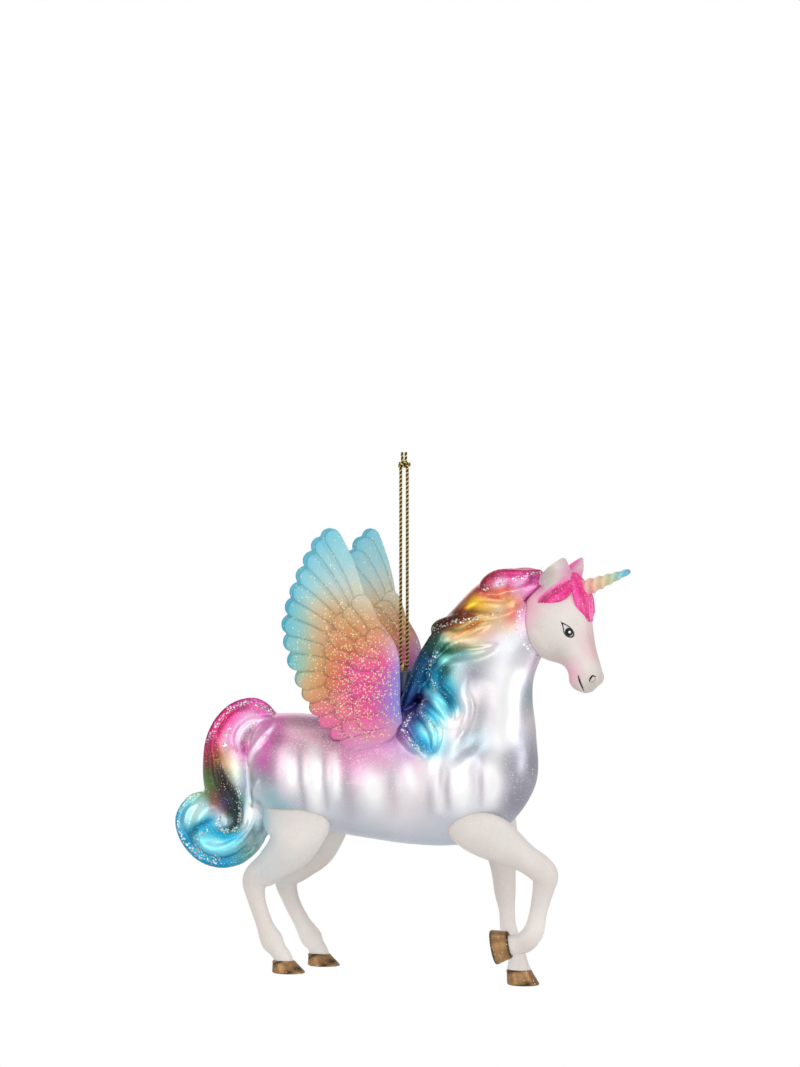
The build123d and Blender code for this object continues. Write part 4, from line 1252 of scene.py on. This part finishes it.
# Resin legs with bronze hooves: the side, the root, rows down the leg and the two ends of the hoof.
# A row is along and down from the root, the share of the spread, the half depth, the half width.
# A hoof's end is along and down from the ankle, the half length, the half width.
LEG_LONG, LEG_GIRTH, LEG_SPREAD, HOOF = 50.0, 10.0, 11.0, 9.2
LEG_VOXEL = 0.30
HIND_ROOT, FORE_ROOT = (-0.325, -0.595), (0.281, -0.692)
HIND_HOOF = [(0.03, 0.10, 0.31, 0.28), (0.20, 0.46, 0.50, 0.42)]
LEGS = {
    "right_hind_leg": (-1, HIND_ROOT, [
        (-0.020, -0.060, 0.34, 0.84, 0.34), (-0.030, 0.030, 0.50, 0.94, 0.40),
        (-0.036, 0.120, 0.66, 0.96, 0.44),
        (-0.038, 0.200, 0.82, 0.88, 0.45), (-0.064, 0.292, 0.94, 0.64, 0.42),
        (-0.158, 0.386, 1.00, 0.47, 0.33),
        (-0.248, 0.462, 1.00, 0.37, 0.26), (-0.246, 0.560, 1.00, 0.25, 0.20),
        (-0.200, 0.698, 1.00, 0.23, 0.19),
        (-0.158, 0.788, 1.00, 0.31, 0.25), (-0.126, 0.836, 1.00, 0.24, 0.21),
        (-0.100, 0.872, 1.00, 0.24, 0.22),
    ], HIND_HOOF),
    "left_hind_leg": (1, HIND_ROOT, [
        (0.060, -0.080, 0.42, 0.70, 0.36), (0.046, 0.040, 0.62, 0.78, 0.44), (0.020, 0.184, 0.84, 0.74, 0.48),
        (-0.022, 0.330, 0.94, 0.55, 0.42), (-0.108, 0.418, 1.00, 0.44, 0.33),
        (-0.194, 0.504, 1.00, 0.34, 0.26),
        (-0.174, 0.614, 1.00, 0.24, 0.20), (-0.112, 0.736, 1.00, 0.23, 0.19),
        (-0.056, 0.826, 1.00, 0.30, 0.25),
        (-0.030, 0.866, 1.00, 0.24, 0.21), (-0.018, 0.892, 1.00, 0.26, 0.22),
    ], HIND_HOOF),
    "right_fore_leg": (-1, FORE_ROOT, [
        (-0.156, 0.076, 0.58, 0.24, 0.24), (-0.110, 0.086, 0.68, 0.42, 0.34),
        (-0.030, 0.104, 0.77, 0.56, 0.42),
        (0.076, 0.136, 0.84, 0.60, 0.43), (0.171, 0.188, 0.87, 0.49, 0.40), (0.252, 0.238, 0.88, 0.38, 0.35),
        (0.320, 0.283, 0.86, 0.37, 0.31), (0.354, 0.332, 0.79, 0.36, 0.28), (0.342, 0.402, 0.71, 0.29, 0.23),
        (0.312, 0.530, 0.66, 0.235, 0.20), (0.290, 0.622, 0.62, 0.27, 0.23), (0.246, 0.682, 0.60, 0.29, 0.25),
        (0.192, 0.704, 0.58, 0.27, 0.24),
    ], [(-0.18, 0.00, 0.38, 0.33), (-0.68, 0.10, 0.52, 0.42)]),
    "left_fore_leg": (1, FORE_ROOT, [
        (0.000, -0.080, 0.42, 0.56, 0.34), (0.010, 0.030, 0.60, 0.60, 0.40), (0.034, 0.140, 0.74, 0.54, 0.42),
        (0.052, 0.248, 0.80, 0.42, 0.37), (0.064, 0.356, 0.80, 0.33, 0.30), (0.072, 0.464, 0.80, 0.29, 0.27),
        (0.082, 0.562, 0.80, 0.22, 0.20), (0.090, 0.660, 0.80, 0.23, 0.20), (0.112, 0.746, 0.80, 0.29, 0.25),
        (0.138, 0.812, 0.80, 0.25, 0.22), (0.146, 0.876, 0.80, 0.31, 0.28),
    ], [(0.00, 0.00, 0.35, 0.31), (0.15, 0.46, 0.49, 0.42)]),
}
RAISED_LEG, SPRAYED_LEG = "right_fore_leg", "right_hind_leg"
# The hoof's outline: how far down, and how far out.
HOOF_OUTLINE = np.array([(0.0, 0.90), (0.04, 1.00), (0.14, 1.03), (0.30, 1.0), (0.60, 1.0), (0.86, 1.0),
                         (0.95, 0.985), (1.0, 0.93), (1.0, 0.6)])
LEG_TINTS = paints("""
bone=E0DAD6 285,835 305,840 320,845 470,838 500,842 530,855
shell=E0D8D2 256,900 262,930 270,960 455,835 548,868 552,880 545,900
chalk=EEE8E3 540,930 300,930 500,930 505,960
stone=D8D0CB 250,880 525,950 500,870 300,890 320,865 490,900
frost=CCD0D0 270,835 266,850 262,870
""")
LEG_SEAM_WIDTH, LEG_SEAM_COVER, LEG_SEAM_CODE, LEG_GLITTER = 0.32, 0.55, "BFA080", 0.30
SPRAY_WIDTH, SPRAY_COVER, SPRAY_CODE, SPRAY_PATH = 1.8, 0.6, "7CC4D4", "263,815 263,832 259,848"

bronze = Paint("hoof_bronze", Metallic=0.8)
cloud = bronze.noise(420.0, 5.0, 0.65)
tone = bronze.mix(cloud, full("5E3E26"), full("D0A470"))
tone = bronze.mix(bronze.amount("edge"), tone, full("2A1A0E"))
pitted = bronze.bump(cloud, 0.3, 0.15)
colour, lean, _ = bronze.glitter(tone, 0.06, 2600.0, size=0.34, tilt=0.6, normal=pitted)
bronze.surface(colour, lean, (cloud, 0.3, 0.25))


def limb_paint(name, data, side):
    """Paints a leg: resin colours, a warm seam at the glass and, on one leg, a spray of the tail's blue."""
    spots = get_points(data)
    flat = near_pixels(spots) if side < 0 else pixels(spots)
    gaps = glass_gaps(spots)
    tint = laid_on(spread(flat, LEG_TINTS, 6.0), LEG_SEAM_CODE, LEG_SEAM_COVER * soft(gaps, LEG_SEAM_WIDTH))
    if name == SPRAYED_LEG:
        tint = laid_on(tint, SPRAY_CODE, SPRAY_COVER * soft_line(flat, SPRAY_PATH, SPRAY_WIDTH)[0])
    paint(data, "tint", tint)
    seam_glitter(data, gaps, LEG_GLITTER)


def hoof_mesh(name, top, sole, raised):
    """A hoof between its two ends, darker at its upper and lower edge."""
    way = unit(sole[:3] - top[:3])
    ahead = unit(np.cross(LEFT, way if raised else -UP))
    down, grow = HOOF_OUTLINE[:, :1], HOOF_OUTLINE[:, 1:]
    middle = top[:3] + (sole[:3] - top[:3]) * down
    half = (top[3:] + (sole[3:] - top[3:]) * down) * grow
    verts, faces = skin(middle, ahead * half[:, :1], LEFT * half[:, 1:], 40, 2.1)
    data = make_mesh(name, verts, faces)
    depth = ((verts - top[:3]) @ way) / np.linalg.norm(sole[:3] - top[:3])
    mask(data, "edge", np.clip(soft(depth, 0.10) + soft(depth - 1, 0.12), 0, 1) * 0.95)
    return data


for name, (side, root_shares, leg_rows, hoof_rows) in LEGS.items():
    root = body_point(*root_shares)
    rows = []
    for a, d, s, h, w in leg_rows:
        centre = (root[0] + a * LEG_LONG, side * s * LEG_SPREAD, root[2] - d * LEG_LONG)
        rows.append((*centre, h * LEG_GIRTH, w * LEG_GIRTH))
    ankle = np.array(rows[-1][:3])
    top, sole = [np.array([*ankle, 0, 0]) + np.array([a, 0, -d, h, w]) * HOOF for a, d, h, w in hoof_rows]
    rows.append((*((top[:3] + sole[:3]) / 2), *rows[-1][3:]))
    limb_data = cast(name, tube(rows, LEFT, 8, 36, 2.1), LEG_VOXEL, 4)
    limb_paint(name, limb_data, side)
    place(name + "_limb", limb_data, "figure", "pearl_resin", resin, name)
    hoof_data = hoof_mesh(name + "_hoof", top, sole, name == RAISED_LEG)
    place(name + "_hoof", hoof_data, "figure", "pearl_resin", bronze)

# Resin wings: layered feathers on an arm. Shares of the wing's length back and up from its root.
# A feather's row is the quill's back and up, the tip's back and up, the width.
WING_LONG, FEATHER_WIDE, FEATHER_THICK, FEATHER_ROUND = 58.0, 5.0, 1.3, 0.66
QUILL_SHARE = 0.6
WING_VOXEL = 0.24
FLIGHT = [
    (0.050, 0.560, 0.206, 0.980, 0.84), (0.060, 0.540, 0.254, 0.938, 0.92),
    (0.075, 0.515, 0.298, 0.870, 0.98),
    (0.085, 0.490, 0.340, 0.795, 1.00), (0.090, 0.460, 0.378, 0.715, 1.00),
    (0.090, 0.430, 0.408, 0.638, 1.00),
    (0.090, 0.395, 0.432, 0.550, 1.00), (0.090, 0.360, 0.432, 0.462, 1.00),
    (0.085, 0.320, 0.420, 0.366, 1.00),
    (0.080, 0.275, 0.390, 0.272, 0.96), (0.070, 0.225, 0.362, 0.202, 0.92),
    (0.060, 0.170, 0.330, 0.132, 0.88),
    (0.050, 0.110, 0.292, 0.068, 0.84), (0.040, 0.050, 0.240, 0.010, 0.84),
]
COVERT = [
    (0.000, 0.480, 0.098, 0.672, 0.86), (0.015, 0.450, 0.146, 0.620, 0.92),
    (0.020, 0.415, 0.196, 0.578, 0.96),
    (0.020, 0.375, 0.224, 0.500, 1.00), (0.020, 0.335, 0.250, 0.432, 1.00),
    (0.020, 0.290, 0.256, 0.340, 1.00),
    (0.010, 0.240, 0.252, 0.268, 0.96), (0.000, 0.185, 0.240, 0.198, 0.92),
    (-0.010, 0.125, 0.215, 0.125, 0.92),
    (-0.015, 0.060, 0.185, 0.045, 0.92),
]
SCALE = [
    (-0.045, 0.430, 0.052, 0.500, 0.90), (-0.050, 0.385, 0.110, 0.455, 0.96),
    (-0.055, 0.335, 0.142, 0.385, 1.00),
    (-0.055, 0.280, 0.152, 0.312, 1.00), (-0.050, 0.220, 0.146, 0.238, 1.00),
    (-0.045, 0.155, 0.130, 0.165, 1.00),
    (-0.040, 0.085, 0.110, 0.090, 1.00),
]
# Each layer's thickness, its tilt in degrees and its bow in millimetres.
LAYERS = [(FLIGHT, 1.0, 7.0, 1.1), (COVERT, 1.75, 6.0, 0.7), (SCALE, 2.45, 6.0, 0.3)]
# The arm: back and up, then the half width and the half thickness as shares of a feather's.
ARM = [
    (0.045, -0.100, 1.70, 1.90), (0.040, 0.020, 1.75, 1.75), (0.012, 0.150, 1.32, 1.66),
    (-0.030, 0.280, 0.85, 1.45),
    (-0.045, 0.400, 0.60, 1.25), (-0.005, 0.500, 0.45, 0.95), (0.040, 0.580, 0.25, 0.60),
]
ARM_REACH = (0.205, 0.62)
WING_FLARE, WING_LEAN = math.radians(6.0), math.radians(12.5)
WING_BACK = np.array([-math.cos(WING_FLARE), -math.sin(WING_FLARE), 0.0])
WING_UP = np.array([0.0, -math.sin(WING_LEAN), math.cos(WING_LEAN)])
WING_FACE = unit(np.cross(WING_BACK, WING_UP))
WING_ROOT = body_point(-0.050, -0.200, -9.5)
BARB_PITCH, BARB_SLANT = 0.62, 0.55


def wing_point(back, up):
    return WING_ROOT + WING_BACK * back * WING_LONG + WING_UP * up * WING_LONG


def blade_half(marks, straight, radius):
    """The half width along a feather before its round tip, narrower at the quill."""
    return radius * (QUILL_SHARE + (1 - QUILL_SHARE) * np.clip(marks / straight, 0, 1))


def feather(root_back, root_up, tip_back, tip_up, width, thick, twist, bow):
    """One feather: a bowed blade with a rounded tip, tilted about its own length over the next one."""
    quill, tip = wing_point(root_back, root_up), wing_point(tip_back, tip_up)
    length = np.linalg.norm(tip - quill)
    onward = (tip - quill) / length
    face = turned(WING_FACE, onward, twist)
    across = unit(np.cross(face, onward))
    radius = width * FEATHER_WIDE * FEATHER_ROUND
    straight = length - radius
    tip_marks = straight + radius * np.sin(np.linspace(0, 0.985, 9) * math.pi / 2)
    marks = np.concatenate([np.linspace(0, straight, 14)[:-1], tip_marks])
    late = np.clip((marks - straight) / radius, 0, 1)
    half = blade_half(marks, straight, radius) * np.sqrt(np.clip(1 - late ** 2, 0.0009, 1))
    deep = thick * FEATHER_THICK / 2 * (1 - 0.45 * late ** 2)
    centres = quill + onward * marks[:, None] + across * (bow * np.sin(marks / length * math.pi))[:, None]
    return skin(centres, across[None] * half[:, None], face[None] * deep[:, None], 20, 2.3)


def feather_edge(points, normals):
    """On the near wing: the distance to the edge of the feather on top, and a count of its slanted barbs."""
    rel = points - WING_ROOT
    spots = np.stack([rel @ WING_BACK, rel @ WING_UP], 1)
    facing = np.where(normals @ WING_FACE > 0, 1.0, -1.0)
    top = np.full(len(points), -9.0)
    beyond_arm = (spots[:, 0] > ARM_REACH[0] * WING_LONG) | (spots[:, 1] > ARM_REACH[1] * WING_LONG)
    edge = np.where(beyond_arm, 0.25, 9.0)
    barb = np.zeros(len(points))
    for rows, thick, twist, bow in LAYERS:
        for *ends, width in rows:
            quill, tip = np.reshape(ends, (2, 2)) * WING_LONG
            length = np.linalg.norm(tip - quill)
            way = (tip - quill) / length
            along = (spots - quill) @ way
            aside = (spots - quill) @ np.array([-way[1], way[0]])
            aside = aside - bow * np.sin(np.clip(along / length, 0, 1) * math.pi)
            radius = width * FEATHER_WIDE * FEATHER_ROUND
            straight = length - radius
            gap = np.where(along > straight, radius - np.hypot(along - straight, aside),
                           blade_half(along, straight, radius) - np.abs(aside))
            height = thick * FEATHER_THICK / 2 + facing * aside * math.tan(math.radians(twist))
            over_it = (gap > 0) & (along > 0) & (height > top)
            top = np.where(over_it, height, top)
            fade = 0.6 * np.clip(1 - along / (0.3 * length), 0, 1)
            edge = np.where(over_it, gap + fade, edge)
            barb = np.where(over_it, (np.abs(aside) + BARB_SLANT * along) / BARB_PITCH, barb)
    return edge, barb


def creases(data):
    """How sharply a mesh folds inwards at each point, evened out a little."""
    edges, points, ways = get_edges(data), get_points(data), get_normals(data)
    step = points[edges[:, 1]] - points[edges[:, 0]]
    lift = ((ways[edges[:, 1]] - ways[edges[:, 0]]) * step).sum(1) / np.maximum((step ** 2).sum(1), 1e-9)
    bend = edge_mean(edges, lift, lift, len(points))
    for _ in range(2):
        bend = 0.5 * bend + 0.5 * neighbour_mean(edges, bend)
    return -bend


WING_TINTS = paints("""
sand=CDBEA2 314,611 366,602 354,599
straw=CAA980 317,639 357,611 305,681 302,694
apricot=CC9E6C 332,614 317,663
coral=D08660 338,636 378,632 323,694 305,706
orange=D2764C 354,648 335,657 329,681
mist=98CCD4 329,556 308,590 345,560
sea=86C0C0 299,611 299,632 292,645 292,681
sky=70C4D8 326,531 314,550 302,568
blue=5AB8D0 288,599 282,629 286,660
violet=8C80D2 398,675 397,691 395,709
lilac=CC90BC 394,654 394,730 369,749
pink=E282AC 354,737 378,737
rose=E46C80 369,657 341,709
candy=E26498 314,718 332,730
hot_pink=E44A8C 384,663 354,669 354,694 372,685 369,712
reed=98BCA4 302,666
pale=BECCC4 341,586 350,580
""")
WING_GLITTER = [(0.56, 358, 690, 38, 48), (0.18, 345, 630, 40, 45)]
# The shade colour is painted into the folds, along the edges of the feathers and in stripes across the barbs:
# painted shade in the grooves.
SHADE_DEPTH, SHADE_TINT = 1.25, np.array([0.46, 0.61, 0.66])
RIM_WIDTH, RIM_COVER, FULL_CREASE = 0.34, 0.95, 1.2
feathered = Paint("feather_paint", Coat_Weight=0.10, Coat_Roughness=0.35)
barbs = feathered.noise(1900.0, 3.0, 0.6)
shade = feathered.tint("shade")
wash = feathered.mix(feathered.amount("groove"), feathered.tint("tint"), shade)
wash = feathered.mix(feathered.math("MULTIPLY_ADD", barbs, 0.5, -0.12), wash, WHITE, "SOFT_LIGHT")
combed = feathered.math("SINE", feathered.math("MULTIPLY", feathered.amount("barb"), FULL_TURN))
wash = feathered.mix(feathered.math("MULTIPLY_ADD", combed, 0.10, 0.10), wash, shade)
ruffled = feathered.bump(barbs, 0.35, 0.12)
colour, lean, flakes = feathered.glitter(wash, feathered.amount("glitter"), 2000.0, size=0.40, tilt=0.9,
                                         normal=ruffled, hues=GOLD_FLAKES)
feathered.surface(colour, lean, (barbs, 0.2, 0.38))
feathered.put("Metallic", feathered.math("MULTIPLY", flakes, 0.6))

arm = tube([(*wing_point(b, u), w * FEATHER_WIDE, t * FEATHER_THICK) for b, u, w, t in ARM], WING_FACE, 6, 28)
blades = [feather(*row, thick, twist, bow) for rows, thick, twist, bow in LAYERS for row in rows]
wing_form = joined(arm, *blades)
for name, form, side in (("right_wing", wing_form, 1), ("left_wing", mirrored(wing_form), -1)):
    wing = cast(name, form, WING_VOXEL, 2)
    spots = get_points(wing)
    flat = near_pixels(spots)
    tint = spread(flat, WING_TINTS)
    paint(wing, "tint", tint)
    paint(wing, "shade", tint ** SHADE_DEPTH * SHADE_TINT)
    near = np.array([1, side, 1])
    edge, barb = feather_edge(spots * near, get_normals(wing) * near)
    mask(wing, "barb", barb)
    folds = np.clip(creases(wing) / FULL_CREASE, 0, 1)
    mask(wing, "groove", np.maximum(folds, RIM_COVER * soft(edge, RIM_WIDTH)))
    mask(wing, "glitter", glitter_patches(flat, WING_GLITTER))
    place(name + "_feathers", wing, "figure", "wing_resin", feathered, name)

# Metal cap with a scalloped skirt: the radius and the height along its closed profile.
CAP_PROFILE = [(0.9, -1.66), (2.6, -1.66), (3.5, -1.68), (3.86, -1.80), (4.0, -2.10), (4.0, -3.2),
               (3.96, -5.4),
               (4.0, -7.0), (4.0, -7.85), (3.62, -7.85), (3.6, -6.0), (3.6, -2.2), (3.3, -2.06), (0.9, -2.06)]
CAP_SIDES = 96
FLUTES, FLUTE_DEPTH, FLUTE_TOP, FLUTE_END, FLUTE_RADIUS = 24, 0.05, -3.0, -7.0, 3.9
SCALLOPS, SCALLOP_RISE, SCALLOP_TOP = 12, 0.62, -7.5
turns = circle(CAP_SIDES)
cap_rings = []
for radius, z in CAP_PROFILE:
    fluted = FLUTE_END < z < FLUTE_TOP and radius > FLUTE_RADIUS
    ring = radius - np.maximum(FLUTE_DEPTH * np.cos(turns * FLUTES), 0) * fluted
    rise = SCALLOP_RISE * (1 - np.abs(np.sin(turns * SCALLOPS / 2))) * (z < SCALLOP_TOP)
    cap_rings.append(np.stack([ring * np.cos(turns), ring * np.sin(turns), z + rise], 1))
cap_data = make_mesh("crown_cap", np.vstack(cap_rings), flipped(wrapped(len(CAP_PROFILE), CAP_SIDES)))
# The cap is silver; its blue and brown are painted reflections of the mane and the wing, mottled by the same
# noise that scuffs it.
tin = Paint("cap_metal", Metallic=0.9)
scuff_and_reflection = tin.noise(700.0, 4.0)
tin.surface(tin.mix(scuff_and_reflection, full("2A6C8E"), full("6A5048")), tin.bump(scuff_and_reflection, 0.12, 0.1), (scuff_and_reflection, 0.25, 0.34))
place("scalloped_cap", cap_data, "hanger", "cap_metal", tin, "crown_cap")

# The wire staple through the cap: one leg, the eye, the other leg.
WIRE_GIRTH, WIRE_EYE = 0.4, 1.45
WIRE_LEG = [(0, 1.9, -11.6), (0, WIRE_EYE, -5.2), (0, WIRE_EYE, -3.0), (0, WIRE_EYE, -WIRE_EYE)]
arc = np.linspace(0, math.pi, 15)[1:-1]
wire_path = WIRE_LEG + [(0, WIRE_EYE * math.cos(a), WIRE_EYE * (math.sin(a) - 1)) for a in arc]
wire_path += [(x, -y, z) for x, y, z in reversed(WIRE_LEG)]
wire_data = make_mesh("hanger_wire", *tube([(*p, WIRE_GIRTH, WIRE_GIRTH) for p in wire_path], AHEAD, 5, 16))
brass = Paint("wire_metal", Metallic=1.0)
draw = brass.noise(1800.0, 2.0)
brass.put("Base Color", brass.mix(draw, full("B9985A"), full("E0CB94")))
brass.put("Roughness", brass.math("MULTIPLY_ADD", draw, 0.2, 0.18))
place("wire_staple", wire_data, "hanger", "wire_metal", brass, "hanger_wire")
